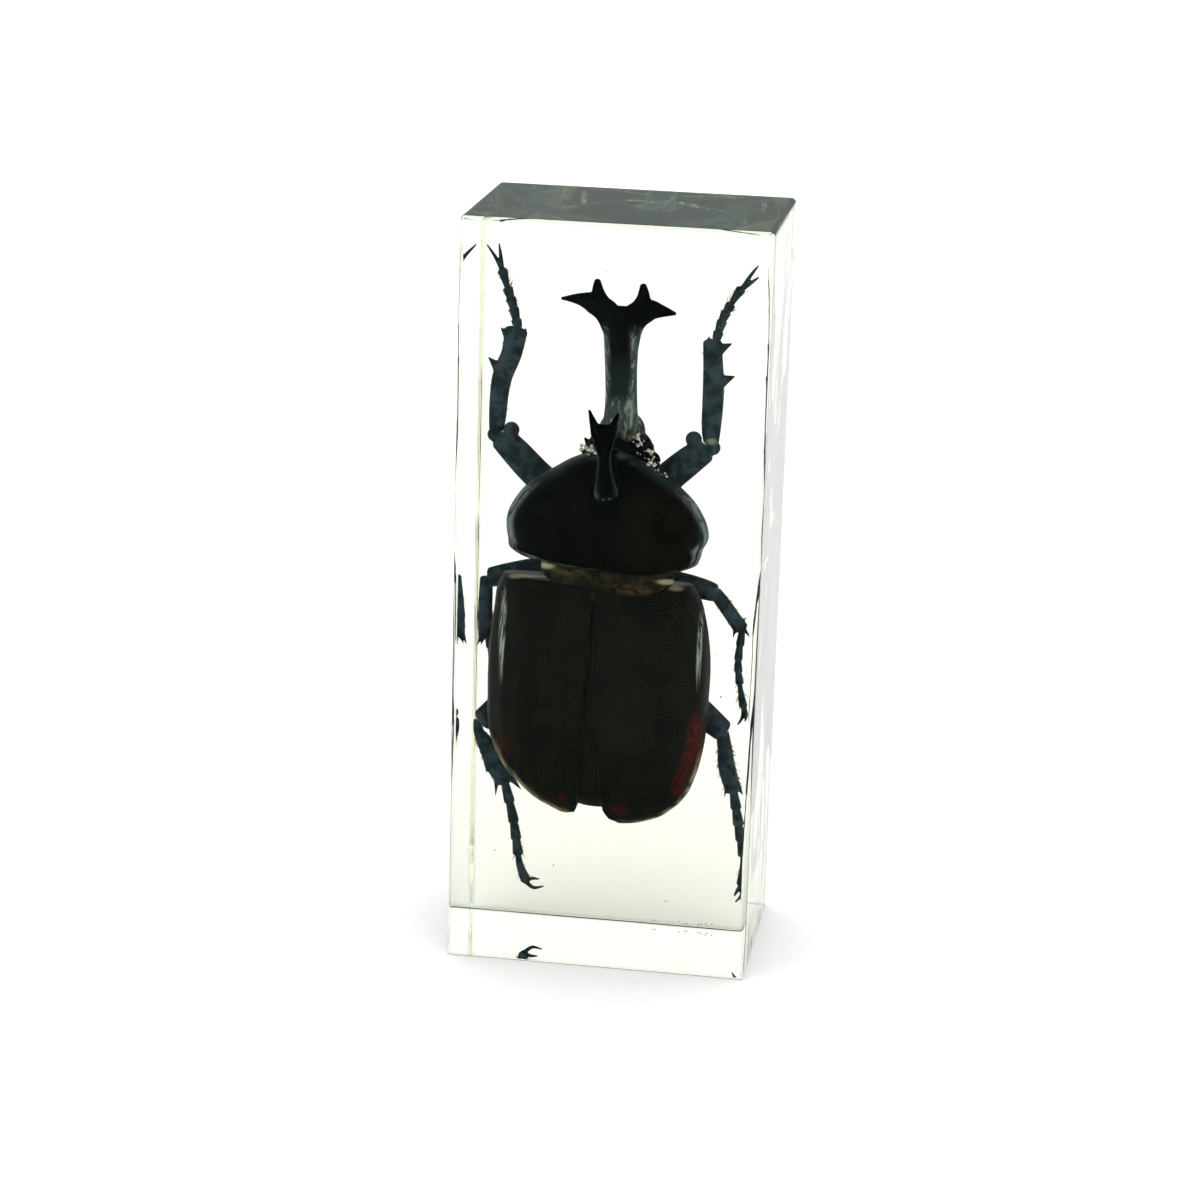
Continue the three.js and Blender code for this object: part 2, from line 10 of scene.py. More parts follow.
import bpy
import numpy as np
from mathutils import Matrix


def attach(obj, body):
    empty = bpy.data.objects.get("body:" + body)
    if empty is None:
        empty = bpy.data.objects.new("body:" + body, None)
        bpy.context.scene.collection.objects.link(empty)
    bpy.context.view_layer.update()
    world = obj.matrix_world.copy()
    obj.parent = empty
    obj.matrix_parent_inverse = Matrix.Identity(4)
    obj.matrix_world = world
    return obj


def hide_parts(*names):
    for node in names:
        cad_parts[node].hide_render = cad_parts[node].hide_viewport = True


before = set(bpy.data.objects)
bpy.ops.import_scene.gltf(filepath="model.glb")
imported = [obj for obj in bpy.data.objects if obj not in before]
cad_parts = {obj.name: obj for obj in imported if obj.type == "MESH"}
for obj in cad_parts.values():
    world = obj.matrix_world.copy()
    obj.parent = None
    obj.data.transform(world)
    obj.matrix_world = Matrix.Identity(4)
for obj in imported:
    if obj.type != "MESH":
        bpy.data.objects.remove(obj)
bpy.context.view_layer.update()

# %% [markdown]
# ## Camera
# A product picture of a small thing is taken from some way off with a long lens, so that the
# upright edges stay almost parallel. The camera is placed by its direction and distance from the
# middle of the block, with a slight roll, instead of by bare coordinates, because those are the
# numbers a photographer would change.

# %% Camera
MM = 0.001
LENS_MM = 98.04
CAMERA_AZIMUTH = math.radians(8.633)
CAMERA_ELEVATION = math.radians(16.710)
CAMERA_ROLL = math.radians(1.630)
CAMERA_DISTANCE = 477.87
CAMERA_SLIDE = (-2.902, -3.129)  # to the right and up, so that the block sits off centre
BLOCK_MIDDLE = np.array([0.0, 0.0, 55.0])

scene = bpy.context.scene


def new_object(name, data):
    """A new object, put in the scene."""
    obj = bpy.data.objects.new(name, data)
    scene.collection.objects.link(obj)
    return obj


cos_e = math.cos(CAMERA_ELEVATION)
backward = np.array([math.sin(CAMERA_AZIMUTH) * cos_e, -math.cos(CAMERA_AZIMUTH) * cos_e,
                     math.sin(CAMERA_ELEVATION)])
level = np.cross(-backward, [0, 0, 1])
level /= np.linalg.norm(level)
upright = np.cross(level, -backward)
eye = BLOCK_MIDDLE + backward * CAMERA_DISTANCE + level * CAMERA_SLIDE[0] + upright * CAMERA_SLIDE[1]
right = math.cos(CAMERA_ROLL) * level + math.sin(CAMERA_ROLL) * upright
up = math.cos(CAMERA_ROLL) * upright - math.sin(CAMERA_ROLL) * level

placed = np.eye(4)
placed[:3, 0], placed[:3, 1], placed[:3, 2], placed[:3, 3] = right, up, backward, eye * MM
camera_data = bpy.data.cameras.new("camera")
camera_data.lens = LENS_MM
camera_data.sensor_width = 36.0
camera_data.clip_start = 0.01
camera = new_object("camera", camera_data)
camera.matrix_world = placed.T.tolist()
scene.camera = camera
print("camera at", (eye * MM).round(4), "metres")

# %% [markdown]
# ## Smooth lines through a table
# A beetle's plates and limbs swell and taper without corners. Each is written down as a short
# table of sections, and a smooth line is drawn through every column. A cubic between each pair of
# rows is enough, and it passes exactly through the numbers, so the piece keeps its size.

# %% Lines through a table
def through(knots, values, at):
    """A smooth line through table rows. Between two knots it is a cubic, whose slope at each knot
    is the mean of the slopes on both sides, each weighted by how near its neighbour is."""
    step = np.diff(knots)[:, None]
    slope = np.diff(values, axis=0) / step
    lean = np.empty_like(values)
    lean[0], lean[-1] = slope[0], slope[-1]
    lean[1:-1] = (slope[:-1] * step[1:] + slope[1:] * step[:-1]) / (step[1:] + step[:-1])
    row = np.clip(np.searchsorted(knots, at, side="right") - 1, 0, len(knots) - 2)
    t = ((at - knots[row]) / step[row, 0])[:, None]
    width = step[row]
    return ((2 * t ** 3 - 3 * t ** 2 + 1) * values[row] + (t ** 3 - 2 * t ** 2 + t) * width * lean[row]
            + (3 * t ** 2 - 2 * t ** 3) * values[row + 1] + (t ** 3 - t ** 2) * width * lean[row + 1])


print("through 0, 1, 0 the line is at", through(np.arange(3), np.array([[0.0], [1], [0]]), np.array([0.5])),
      "half way to the top")

# %% [markdown]
# ## Closed skins
# Every form is a stack of rings with a point at each end. Edit Mode could extrude and bridge them,
# but that work is lost whenever a number changes, so the triangles are numbered by array sums.

# %% Closed skins
def unit(vectors):
    """Each vector divided by its own length."""
    return vectors / np.maximum(np.linalg.norm(vectors, axis=-1, keepdims=True), 1e-9)


def closed_skin(rings, start, end):
    """(corners, triangles) of a closed skin over rings of equally many points, with one point
    closing each end: each square between two rings is split along its diagonal."""
    count, sides = rings.shape[:2]
    corners = np.vstack([rings.reshape(-1, 3), start, end])
    row, i = np.meshgrid(np.arange(count - 1), np.arange(sides), indexing="ij")
    a = row * sides + i
    b = row * sides + (i + 1) % sides
    squares = np.stack([np.stack([a, b, b + sides], -1), np.stack([a, b + sides, a + sides], -1)])
    side = np.arange(sides)
    after = (side + 1) % sides
    first = np.stack([after, side, np.full(sides, count * sides)], -1)
    base = (count - 1) * sides
    last = np.stack([base + side, base + after, np.full(sides, count * sides + 1)], -1)
    return corners, np.vstack([squares.reshape(-1, 3), first, last])


def mesh_of(name, corners, faces):
    """A mesh from a list of corners and a list of faces."""
    mesh = bpy.data.meshes.new(name)
    mesh.from_pydata(np.asarray(corners).tolist(), [], np.asarray(faces).tolist())
    return mesh


def joined(parts):
    """Several (corners, triangles) as one, with the triangles' numbers moved along."""
    starts = np.cumsum([0] + [len(corners) for corners, _ in parts[:-1]])
    return (np.vstack([corners for corners, _ in parts]),
            np.vstack([faces + start for (_, faces), start in zip(parts, starts)]))


# %% [markdown]
# ## The forms of a beetle
# Body rings and plates are superellipses stacked from tail to head. Limbs and horns are ovals
# carried along a path. Balls close the joints, and cones make the teeth. Every form can be grown
# by a distance, so that the same form, a little larger, cuts the room its neighbour needs.

# %% Plates
PLATE_FULLNESS = 2.3  # 2 is an ellipse, and more is fuller at the shoulders


def plate(sections, sides=160, rings=150, relief=None, round_end=0.3):
    """Sections [z, left, right, back y, rim y, belly y] smoothed from tail to head. Round each, a
    point at angle a lies at the middle plus sign(cos a)|cos a|^(2/n) half widths across, and
    sign(sin a)|sin a|^(2/n) depths from the rim line. relief(a, z, x) adds to it, in mm."""
    table = np.array(sections, float)

    def form(grow=0.0):
        z = np.linspace(table[0, 0], table[-1, 0], rings)
        left, right_x, back, rim, belly = through(table[:, 0], table[:, 1:], z).T[:, :, None]
        angle = np.linspace(0, 2 * np.pi, sides, endpoint=False)[None, :]
        power = 2 / PLATE_FULLNESS
        along = np.sign(np.cos(angle)) * np.abs(np.cos(angle)) ** power
        out = np.sign(np.sin(angle)) * np.abs(np.sin(angle)) ** power
        x = (left + right_x) / 2 + along * (right_x - left) / 2
        swell = grow + (relief(angle, z[:, None], x) if relief else 0.0)
        x = x + along * swell
        y = rim + out * (np.where(out < 0, rim - back, belly - rim) + swell)
        body = np.stack([x, y, z[:, None] + 0 * x], -1)
        turn = np.linspace(0, np.pi / 2, 7)[1:-1, None, None]
        caps = []
        for ring, way in ((body[0], -1), (body[-1], 1)):
            middle = ring.mean(axis=0)
            cap = middle + (ring - middle) * np.cos(turn)
            cap[..., 2] += way * (round_end + grow) * np.sin(turn[..., 0])
            caps.append((cap, middle + [0, 0, way * (round_end + grow)]))
        rows = np.concatenate([caps[0][0][::-1], body, caps[1][0]])
        return closed_skin(rows, caps[0][1], caps[1][1])
    return form

# %% [markdown]
# ## Limbs and horns
# A shin or a horn is a tube that bends, swells and flattens. A curve with a bevel could follow the
# path, but its section stays round, so ovals are set across the path instead.

# %% Limbs and horns
def limb(stations, flatness=None, sides=32, rings=90, groove=0.0, profile=None):
    """Ovals along a smooth path through stations [x, y, z, half width, half thickness]. At path
    step t and angle a, a point lies half width times cos a across and half thickness times
    sin a out, seen along the path. groove pulls in the middle of the side towards -Y."""
    table = np.array(stations, float)
    if table.shape[1] == 4:
        table = np.column_stack([table, table[:, 3] * (flatness or 1.0)])

    def form(grow=0.0):
        gaps = np.linalg.norm(np.diff(table[:, :3], axis=0), axis=1) ** 0.5
        knots = np.concatenate([[0], np.cumsum(gaps)])
        at = np.linspace(0, knots[-1], rings)
        rows = through(knots, table, at)
        middle, size = rows[:, :3], np.maximum(rows[:, 3:], 0.05)
        if profile:
            size = size * profile(at / knots[-1])[:, None]
        forward = unit(np.gradient(middle, axis=0))
        thick = unit(np.array([0, 1, 0]) - forward * forward[:, 1:2])
        wide = np.cross(thick, forward)
        turn = np.linspace(0, np.pi / 2, 6)[1:-1]
        reach = 0.4 * size[[0, -1], 0] + 1.2 * grow
        start = middle[0] - forward[0] * (reach[0] * np.sin(turn[::-1]))[:, None]
        end = middle[-1] + forward[-1] * (reach[1] * np.sin(turn))[:, None]
        spread = np.concatenate([np.cos(turn[::-1]), np.ones(rings), np.cos(turn)])[:, None]
        fill = lambda rows_: np.concatenate(
            [np.repeat(rows_[:1], len(turn), 0), rows_, np.repeat(rows_[-1:], len(turn), 0)])
        middles = np.concatenate([start, middle, end])
        angle = 2 * np.pi * (np.arange(sides) + 0.5) / sides
        halves = (fill(size) + grow) * spread
        dent = 1 - groove * np.exp(-((angle - 1.5 * np.pi) / 0.5) ** 2)
        ovals = (middles[:, None]
                 + fill(wide)[:, None] * (np.cos(angle) * halves[:, :1])[..., None]
                 + fill(thick)[:, None] * (np.sin(angle) * dent * halves[:, 1:2])[..., None])
        return closed_skin(ovals, middle[0] - forward[0] * reach[0], middle[-1] + forward[-1] * reach[1])
    return form

# %% [markdown]
# ## Balls and teeth
# Knees bulge like balls and shins carry thorns. Both are too small for sculpting to pay: a
# stretched ball and a limb that thins fast say all there is.

# %% Balls and teeth
def lump(centre, radii, sides=32, rings=24):
    """A ball stretched to three radii: rings of latitude, each as wide as the sine of its angle."""
    def form(grow=0.0):
        down = np.linspace(np.pi, 0, rings)[1:-1, None]
        round_ = np.linspace(0, 2 * np.pi, sides, endpoint=False)[None, :]
        size = np.array(radii, float) + grow
        ball = np.stack([np.sin(down) * np.cos(round_), np.sin(down) * np.sin(round_),
                         np.cos(down) + 0 * round_], -1) * size + centre
        return closed_skin(ball, np.array(centre) - [0, 0, size[2]], np.array(centre) + [0, 0, size[2]])
    return form


def tooth(base, tip, radius):
    """A thorn: a limb whose width falls as the square root runs out, so its sides curve in."""
    base, tip = np.array(base, float), np.array(tip, float)
    t = np.array([-0.12, 0.0, 0.3, 0.6, 0.85, 1.0])
    width = radius * np.array([1.05, 1.0, 0.7, 0.42, 0.2, 0.08])
    return limb(np.column_stack([base + (tip - base) * t[:, None], width]), sides=16, rings=24)


# %% [markdown]
# ## Melting forms together
# Where a horn grows out of a head there is no seam. Overlapping forms are melted into one skin by
# a voxel remesh, then smoothed, so each join gets the small hollow a grown thing has. A boolean
# union would be sharper, but every join would keep a hard crease. After that the room of the
# neighbours is cut away, so that hard plates meet at a fine gap.

# %% Melting and cutting
def baked(obj):
    """The mesh of an object with its modifiers worked out. The object itself goes."""
    bpy.context.view_layer.update()
    result = bpy.data.meshes.new_from_object(obj.evaluated_get(bpy.context.evaluated_depsgraph_get()))
    old = obj.data
    bpy.data.objects.remove(obj)
    bpy.data.meshes.remove(old)
    return result


def evened(obj, voxel, smooth):
    """Gives an object a voxel remesh and a number of smoothing rounds."""
    remesh = obj.modifiers.new("even", "REMESH")
    remesh.mode = "VOXEL"
    remesh.voxel_size = voxel
    if smooth:
        soften = obj.modifiers.new("soften", "SMOOTH")
        soften.factor = 0.5
        soften.iterations = smooth


def melt(forms, voxel, grow=0.0, smooth=4):
    """One closed mesh in millimetres from overlapping forms: a voxel remesh, then smoothing."""
    obj = new_object("rough", mesh_of("rough", *joined([form(grow) for form in forms])))
    evened(obj, voxel, smooth)
    return baked(obj)


GAP = 0.08  # between two hard plates


def room(forms, voxel):
    """The room that forms take up, with the gap round it, as a mesh to cut with."""
    return melt(forms, voxel, grow=GAP, smooth=0)


def cut(mesh, cutters, remesh_at=None):
    """mesh without the room of each cutter mesh, all in millimetres."""
    obj = new_object("cut", mesh)
    tools = []
    for number, cutter in enumerate(cutters):
        tool = new_object(f"tool_{number}", cutter)
        tools.append(tool)
        difference = obj.modifiers.new(f"room_{number}", "BOOLEAN")
        difference.operation = "DIFFERENCE"
        difference.solver = "MANIFOLD"
        difference.object = tool
    if remesh_at:
        evened(obj, remesh_at, 3)
    result = baked(obj)
    for tool in tools:
        bpy.data.objects.remove(tool)
    return result


def piece(name, mesh, material, nodes=(), crease=50):
    """A finished piece: its mesh turned to metres, smooth shaded, with its material, riding on the
    frame's one body and standing for the CAD nodes it replaces."""
    co = np.empty(len(mesh.vertices) * 3, np.float32)
    mesh.vertices.foreach_get("co", co)
    mesh.vertices.foreach_set("co", co * MM)
    mesh.polygons.foreach_set("use_smooth", np.ones(len(mesh.polygons), bool))
    mesh.set_sharp_from_angle(angle=math.radians(crease))
    mesh.name = name
    mesh.materials.clear()
    mesh.materials.append(material)
    mesh.update()
    obj = new_object(name, mesh)
    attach(obj, "root")
    if nodes:
        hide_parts(*nodes)
    print(f"{name}: {sum(len(p.vertices) - 2 for p in mesh.polygons)} triangles")


# %% [markdown]
# ## Materials
# A beetle's shell is chitin: hard, nearly black, and polished like lacquer while it is dry. In
# resin it is wetted, so it mirrors little, and only its colour, its fine pits and a pale bloom at
# glancing angles are left. One helper adds a node with its settings and links, and one function
# turns the sRGB colours a painter would write down into the linear ones a renderer adds up.

# %% Helpers for materials
def linear(hex_colour):
    """'#rrggbb' as linear red, green, blue and alpha."""
    parts = [int(hex_colour[i:i + 2], 16) / 255 for i in (1, 3, 5)]
    return [c / 12.92 if c <= 0.04045 else ((c + 0.055) / 1.055) ** 2.4 for c in parts] + [1.0]


def add(tree, kind, values=None, links=None, **attributes):
    """Adds one shader node, sets its attributes and plain values, and links its inputs."""
    node = tree.nodes.new("ShaderNode" + kind)
    for key, value in attributes.items():
        setattr(node, key, value)
    for key, value in (values or {}).items():
        node.inputs[key].default_value = value
    for key, output in (links or {}).items():
        tree.links.new(output, node.inputs[key])
    return node


def new_material(name):
    """An empty material, its tree and its Object coordinates."""
    material = bpy.data.materials.new(name)
    material.use_nodes = True
    tree = material.node_tree
    tree.nodes.clear()
    return material, tree, add(tree, "TexCoord").outputs["Object"]


def dress(material, tree, values, links, volume=None):
    """Ends a material: a Principled surface, and what is inside where light gets in."""
    surface = add(tree, "BsdfPrincipled", values, links)
    ends = {"Surface": surface.outputs[0]}
    if volume:
        ends["Volume"] = volume.outputs[0]
    add(tree, "OutputMaterial", None, ends)
    return material


def per_mm(size):
    """A texture's scale, in cells to the metre, for a pattern whose parts are size mm across."""
    return 1000.0 / size

# %% [markdown]
# ## Sums and ramps
# Where a colour lies on a piece is worked out from the Object coordinates, in millimetres. The
# node editor can do it by hand, but each sum is a node with three wires, so each gets a function.

# %% Sums and ramps
def sum_of(tree, operation, a, b=0.0):
    """The result of one sum on two amounts, each a plain number or another node's output."""
    node = add(tree, "Math", operation=operation)
    for socket, amount in zip(node.inputs, (a, b)):
        if isinstance(amount, float):
            socket.default_value = amount
        else:
            tree.links.new(amount, socket)
    return node.outputs[0]


def times(tree, a, b):
    """Two amounts multiplied."""
    return sum_of(tree, "MULTIPLY", a, b)


def xyz(tree, at):
    """The x, y and z of a coordinate."""
    return add(tree, "SeparateXYZ", None, {0: at}).outputs


def ramp(tree, value, start, end, low=0.0, high=1.0, kind="SMOOTHSTEP"):
    """low where a value is at start, high where it is at end, and smooth in between."""
    return add(tree, "MapRange", {"From Min": start, "From Max": end, "To Min": low, "To Max": high},
               {"Value": value}, interpolation_type=kind).outputs[0]


def between(tree, value, start, end, peak=1.0):
    """0 where a length in metres is at start mm, and peak where it is at end mm."""
    return ramp(tree, value, start * MM, end * MM, 0.0, peak)


def glancing(tree, low, high):
    """0 where a surface faces the viewer, and 1 where it turns away and out of sight."""
    return ramp(tree, add(tree, "LayerWeight", {"Blend": 0.5}).outputs["Facing"], low, high)

# %% [markdown]
# ## Patterns and colours
# Three patterns are enough for an insect: soft blotches, streaks along the growth, and single
# spots. Painting on a texture would need an unwrapped mesh and an image, and these need neither.

# %% Patterns and colours
def noise(tree, at, size, detail=2.0):
    """Soft noise whose blotches are size mm across."""
    return add(tree, "TexNoise", {"Scale": per_mm(size), "Detail": detail}, {"Vector": at}).outputs[0]


def streaks(tree, at, across, along, low=0.45, high=0.62):
    """Streaks that run up the piece: noise whose cells are across mm wide and along mm high."""
    stretched = add(tree, "Mapping", {"Scale": [per_mm(across), per_mm(across), per_mm(along)]},
                    {"Vector": at})
    cells = add(tree, "TexNoise", {"Scale": 1.0, "Detail": 4.0}, {"Vector": stretched.outputs[0]})
    return ramp(tree, cells.outputs[0], low, high)


def spot(tree, at, centre, reach, soft=0.5):
    """1 inside an oval of the given half sizes in mm about a centre in mm, fading to 0 outside."""
    moved = add(tree, "VectorMath", {1: [c * MM for c in centre]}, {0: at}, operation="SUBTRACT")
    scaled = add(tree, "VectorMath", {1: [r * MM for r in reach]}, {0: moved.outputs[0]},
                 operation="DIVIDE")
    far = add(tree, "VectorMath", None, {0: scaled.outputs[0]}, operation="LENGTH")
    return ramp(tree, far.outputs["Value"], 1 + soft, 1 - soft)


def blend(tree, amount, first, second):
    """The first colour turning into the second as an amount goes from 0 to 1."""
    return add(tree, "MixRGB", {"Color1": linear(first), "Color2": linear(second)},
               {"Fac": amount}).outputs[0]


def lay(tree, under, over, amount):
    """One colour laid over another by an amount from 0 to 1."""
    return add(tree, "MixRGB", {"Color2": linear(over)}, {"Fac": amount, "Color1": under}).outputs[0]


def spots(tree, at, colour, table, soft, mask=None):
    """Spots of colour laid on: rows of centre, reach and colour, all seen through one mask."""
    for centre, reach, hue in table:
        amount = spot(tree, at, centre, reach, soft)
        colour = lay(tree, colour, hue, times(tree, amount, mask) if mask else amount)
    return colour

# %% [markdown]
# ## Chitin
# All plates share one recipe and differ in colour, pits and gloss. It could be one material with
# masks for every plate, but a function with settings keeps each plate's own values together.

# %% Chitin
BLOOM_TINT = "#7f97a8"  # the bluish haze that wetted chitin has at glancing angles


def chitin(name, deep, bloom, roughness=0.35, pit_mm=0.35, pit_depth=0.006, ior=1.09, sheen=0.04,
           cloud_mm=5.0, paint=None):
    """Dark chitin: a cloudy mix of two colours, fine pits in the surface and a dull bloom at its
    edges. paint(tree, coordinates, colour) may lay more colour over it. The ior is against the
    resin round it, which is nearly as dense, so it is close to 1."""
    material, tree, at = new_material(name)
    cloud = add(tree, "TexNoise", {"Scale": per_mm(cloud_mm), "Detail": 5.0, "Roughness": 0.6},
                {"Vector": at})
    colour = blend(tree, ramp(tree, cloud.outputs[0], 0.38, 0.68), deep, bloom)
    if paint:
        colour = paint(tree, at, colour)
    pits = add(tree, "TexVoronoi", {"Scale": per_mm(pit_mm)}, {"Vector": at})
    grain = noise(tree, at, 0.25, 4.0)
    bump = add(tree, "Bump", {"Strength": 0.4, "Distance": pit_depth * MM},
               {"Height": times(tree, pits.outputs["Distance"], grain)})
    rough = ramp(tree, grain, 0.0, 1.0, roughness - 0.08, roughness + 0.12, "LINEAR")
    return dress(material, tree, {"IOR": ior, "Sheen Weight": sheen, "Sheen Roughness": 0.4,
                                  "Sheen Tint": linear(BLOOM_TINT)},
                 {"Base Color": colour, "Roughness": rough, "Normal": bump.outputs[0]})


# %% [markdown]
# ## Head and its great horn
# The head is small and mostly hidden. Its horn bends up and back, widens, and forks twice into
# four points. It is made as ovals along five paths, melted together, with a shallow trough down
# the side that faces the viewer.

# %% Head
def horn(stations, **more):
    """A horn is a limb with more rings and smoother ovals."""
    return limb(stations, sides=48, rings=100, **more)


HEAD = [
    lump([0, 2.6, 75], [5, 3.4, 4.4]),
    lump([0, 4.4, 78], [3.4, 2.2, 3.2]),
    horn([[0, 2.4, 75.5, 3.4, 2.6], [0, 1.6, 78.6, 2.75, 2.3], [0.1, 0.4, 82.3, 2.35, 2],
          [0.15, -2.4, 90, 2.4, 1.6], [0.3, -3.5, 93.2, 2.7, 1.55], [0.5, -4.2, 95.2, 3, 1.4],
          [0.6, -4.7, 96.4, 2.4, 1]], groove=0.35),
    horn([[-0.3, -2.5, 91, 1.5, 1.1], [-1, -4.1, 94.4, 1.7, 1.45], [-2.3, -4.7, 96.4, 1.5, 1.35],
          [-3.9, -5.1, 97.6, 1.5, 1.2], [-5.5, -5.3, 98, 0.95, 0.95], [-7.1, -5.4, 98.05, 0.5, 0.55],
          [-8.3, -5.5, 98, 0.2, 0.22]]),
    horn([[-1.9, -4.9, 96.6, 1.75, 1.1], [-2.6, -5.1, 97.6, 1.4, 1.1], [-3.05, -5.4, 99, 1, 0.85],
          [-3.15, -5.8, 100.3, 0.65, 0.6], [-3.15, -6, 100.95, 0.45, 0.42]]),
    horn([[0.8, -2.5, 91.2, 1.5, 1.1], [1.6, -4.1, 94.4, 1.7, 1.45], [2.7, -4.7, 96, 1.65, 1.35],
          [4.3, -5.1, 97, 1.55, 1.2], [5.9, -5.3, 97, 0.95, 0.95], [7.2, -5.4, 96.85, 0.5, 0.55],
          [8.05, -5.5, 96.75, 0.2, 0.22]]),
    horn([[2.3, -4.9, 96.3, 1.75, 1.1], [2.95, -5.1, 97.3, 1.4, 1.1], [3.35, -5.4, 98.7, 1, 0.85],
          [3.35, -5.8, 100, 0.65, 0.6], [3.3, -6, 100.65, 0.45, 0.42]]),
    tooth([-3.6, 3, 74.6], [-5.4, 3.2, 76.9], 1.4),
    tooth([3, 3, 74.2], [4.8, 3.2, 76.3], 1.4),
]
# Eyes at the cheeks, and the mouth's brushes and feelers on the belly side.
FACE = [
    lump([-4.5, 3.4, 74], [1.3, 1.3, 1.4]),
    lump([4.5, 3.4, 74], [1.3, 1.3, 1.4]),
    limb([[-1.6, 5.6, 76.6, 0.7], [-2.2, 6.6, 77.8, 0.6], [-2.0, 7.0, 79.2, 0.4], [-1.4, 6.9, 80.2, 0.25]]),
    limb([[1.6, 5.6, 76.6, 0.7], [2.2, 6.6, 77.8, 0.6], [2.0, 7.0, 79.2, 0.4], [1.4, 6.9, 80.2, 0.25]]),
    lump([0, 5.8, 77.6], [1.9, 1.0, 1.7]),
]
head_mesh = melt(HEAD + FACE, 0.16)
head_room = room(HEAD, 0.3)
print("head melted from", len(HEAD + FACE), "forms into", len(head_mesh.polygons), "faces")

# %% [markdown]
# ## Material of the head
# The great horn's flanks are grey green with silver streaks, which are painted highlights, and a dark
# band runs up the trough. The mask is cut from distances to the horn's middle line, so the painted
# streaks follow the horn and not the light.

# %% Material of the head
# The spots of HORN_GLEAMS are painted highlights on the horn.
HORN_GLEAMS = [  # centre and reach in mm, and colour
    ([1.5, -1, 81.4], [0.42, 4, 2.9], "#a9b3ac"),
    ([-2.15, -2, 88.5], [0.22, 4, 4.6], "#8fa0a4"),
    ([1.95, -3, 92.2], [0.28, 4, 1.3], "#8d9894"),
    ([1.2, -1, 78.6], [0.9, 4, 1.0], "#8f9070"),
]


def paint_horn(tree, at, colour):
    """Grey-green flanks with silver streaks, which are painted highlights, beside a dark middle band, which
    ends low on the stem.
    """
    x, _, z = xyz(tree, at)
    side = sum_of(tree, "ABSOLUTE", sum_of(tree, "ADD", x, -0.1 * MM))
    flank = sum_of(tree, "MAXIMUM", between(tree, side, 1.1, 2.0), between(tree, z, 84.5, 82.0))
    stem = times(tree, between(tree, z, 95.5, 91.0), between(tree, z, 77.0, 80.0))
    colour = lay(tree, colour, "#222b2e", times(tree, stem, between(tree, z, 92.5, 86.5)))
    on_flank = times(tree, flank, stem)
    colour = lay(tree, colour, "#46565a", on_flank)
    # The silver streaks on the flanks are painted highlights.
    silver = times(tree, on_flank, streaks(tree, at, 0.4, 18.0, 0.5, 0.72))
    colour = lay(tree, colour, "#b4beb6", silver)
    return spots(tree, at, colour, HORN_GLEAMS, 0.7, streaks(tree, at, 0.5, 3.0, 0.36, 0.6))


HEAD_CHITIN = chitin("wetted_chitin_of_the_head", "#040607", "#0e1316", ior=1.05, sheen=0.02,
                     paint=paint_horn)
piece("head_and_horn", head_mesh, HEAD_CHITIN, ["head"])

# %% [markdown]
# ## Pronotum and its small horn
# The pronotum is the broad shield behind the head. Its own horn rises from the middle, leans
# forward over the head and forks into two sharp points.

# %% Pronotum
PRONOTUM_SECTIONS = [
    [58.7, -7.5, 9.4, -6.9, -0.8, 4],
    [59.4, -12.8, 11.5, -7.8, 0.3, 5],
    [60.3, -15.2, 12.1, -8.4, 0.8, 5.7],
    [61.8, -15.8, 12.5, -9, 1, 6.4],
    [63.4, -16.1, 13.25, -9.2, 1, 6.7],
    [65, -16.05, 13.1, -9.1, 1, 6.7],
    [67.4, -15, 12, -8.5, 1, 6.4],
    [70.2, -12.7, 9.6, -7.4, 1, 5.7],
    [72.6, -9.2, 6.2, -6, 0.8, 4.8],
    [74.6, -5.8, 3, -4.2, 0.3, 3.4],
    [75.9, -2.2, 0.4, -2, -0.4, 1.2],
]


def shield_relief(angle, z, x):
    """A thin raised lip along the rim, and a faint dent on each side of the shield's middle."""
    rim = 0.12 * np.exp(-(np.minimum(np.abs(np.sin(angle + 0.06)), 1) / 0.1) ** 2)
    dent = -0.25 * np.exp(-(((np.abs(x + 1.4) - 8) / 2.5) ** 2 + ((z - 66) / 2.5) ** 2)) * (np.sin(angle) < 0)
    return rim + dent


PRONOTUM = [
    plate(PRONOTUM_SECTIONS, relief=shield_relief),
    horn([[-0.9, -5, 68, 2.1, 1.5], [-0.95, -7.6, 70.8, 1.7, 1.5], [-1, -9, 72.4, 1.4, 1.4],
          [-1.07, -10.8, 76.2, 0.93, 1.1], [-1.12, -11.3, 78.2, 1.4, 1], [-1.15, -11.65, 80.6, 1.8, 0.8]]),
    horn([[-2.05, -11.6, 79.6, 0.95, 0.85], [-3.25, -12.2, 83.3, 0.2, 0.2]]),
    horn([[-0.25, -11.6, 79.6, 0.95, 0.85], [0.95, -12.2, 83.2, 0.2, 0.2]]),
    lump([-4.6, 5.6, 65.6], [2.6, 2.8, 3]),
    lump([2, 5.6, 66], [2.6, 2.8, 3]),
]

# %% [markdown]
# ## Trunk and scutellum
# The trunk is one ringed form from the waist to the tail. On its belly the abdomen's plates
# overlap like tiles: separate plates would be truer, but they have grown together, so they are a
# relief. The little scutellum bridges the wing cases at the front.

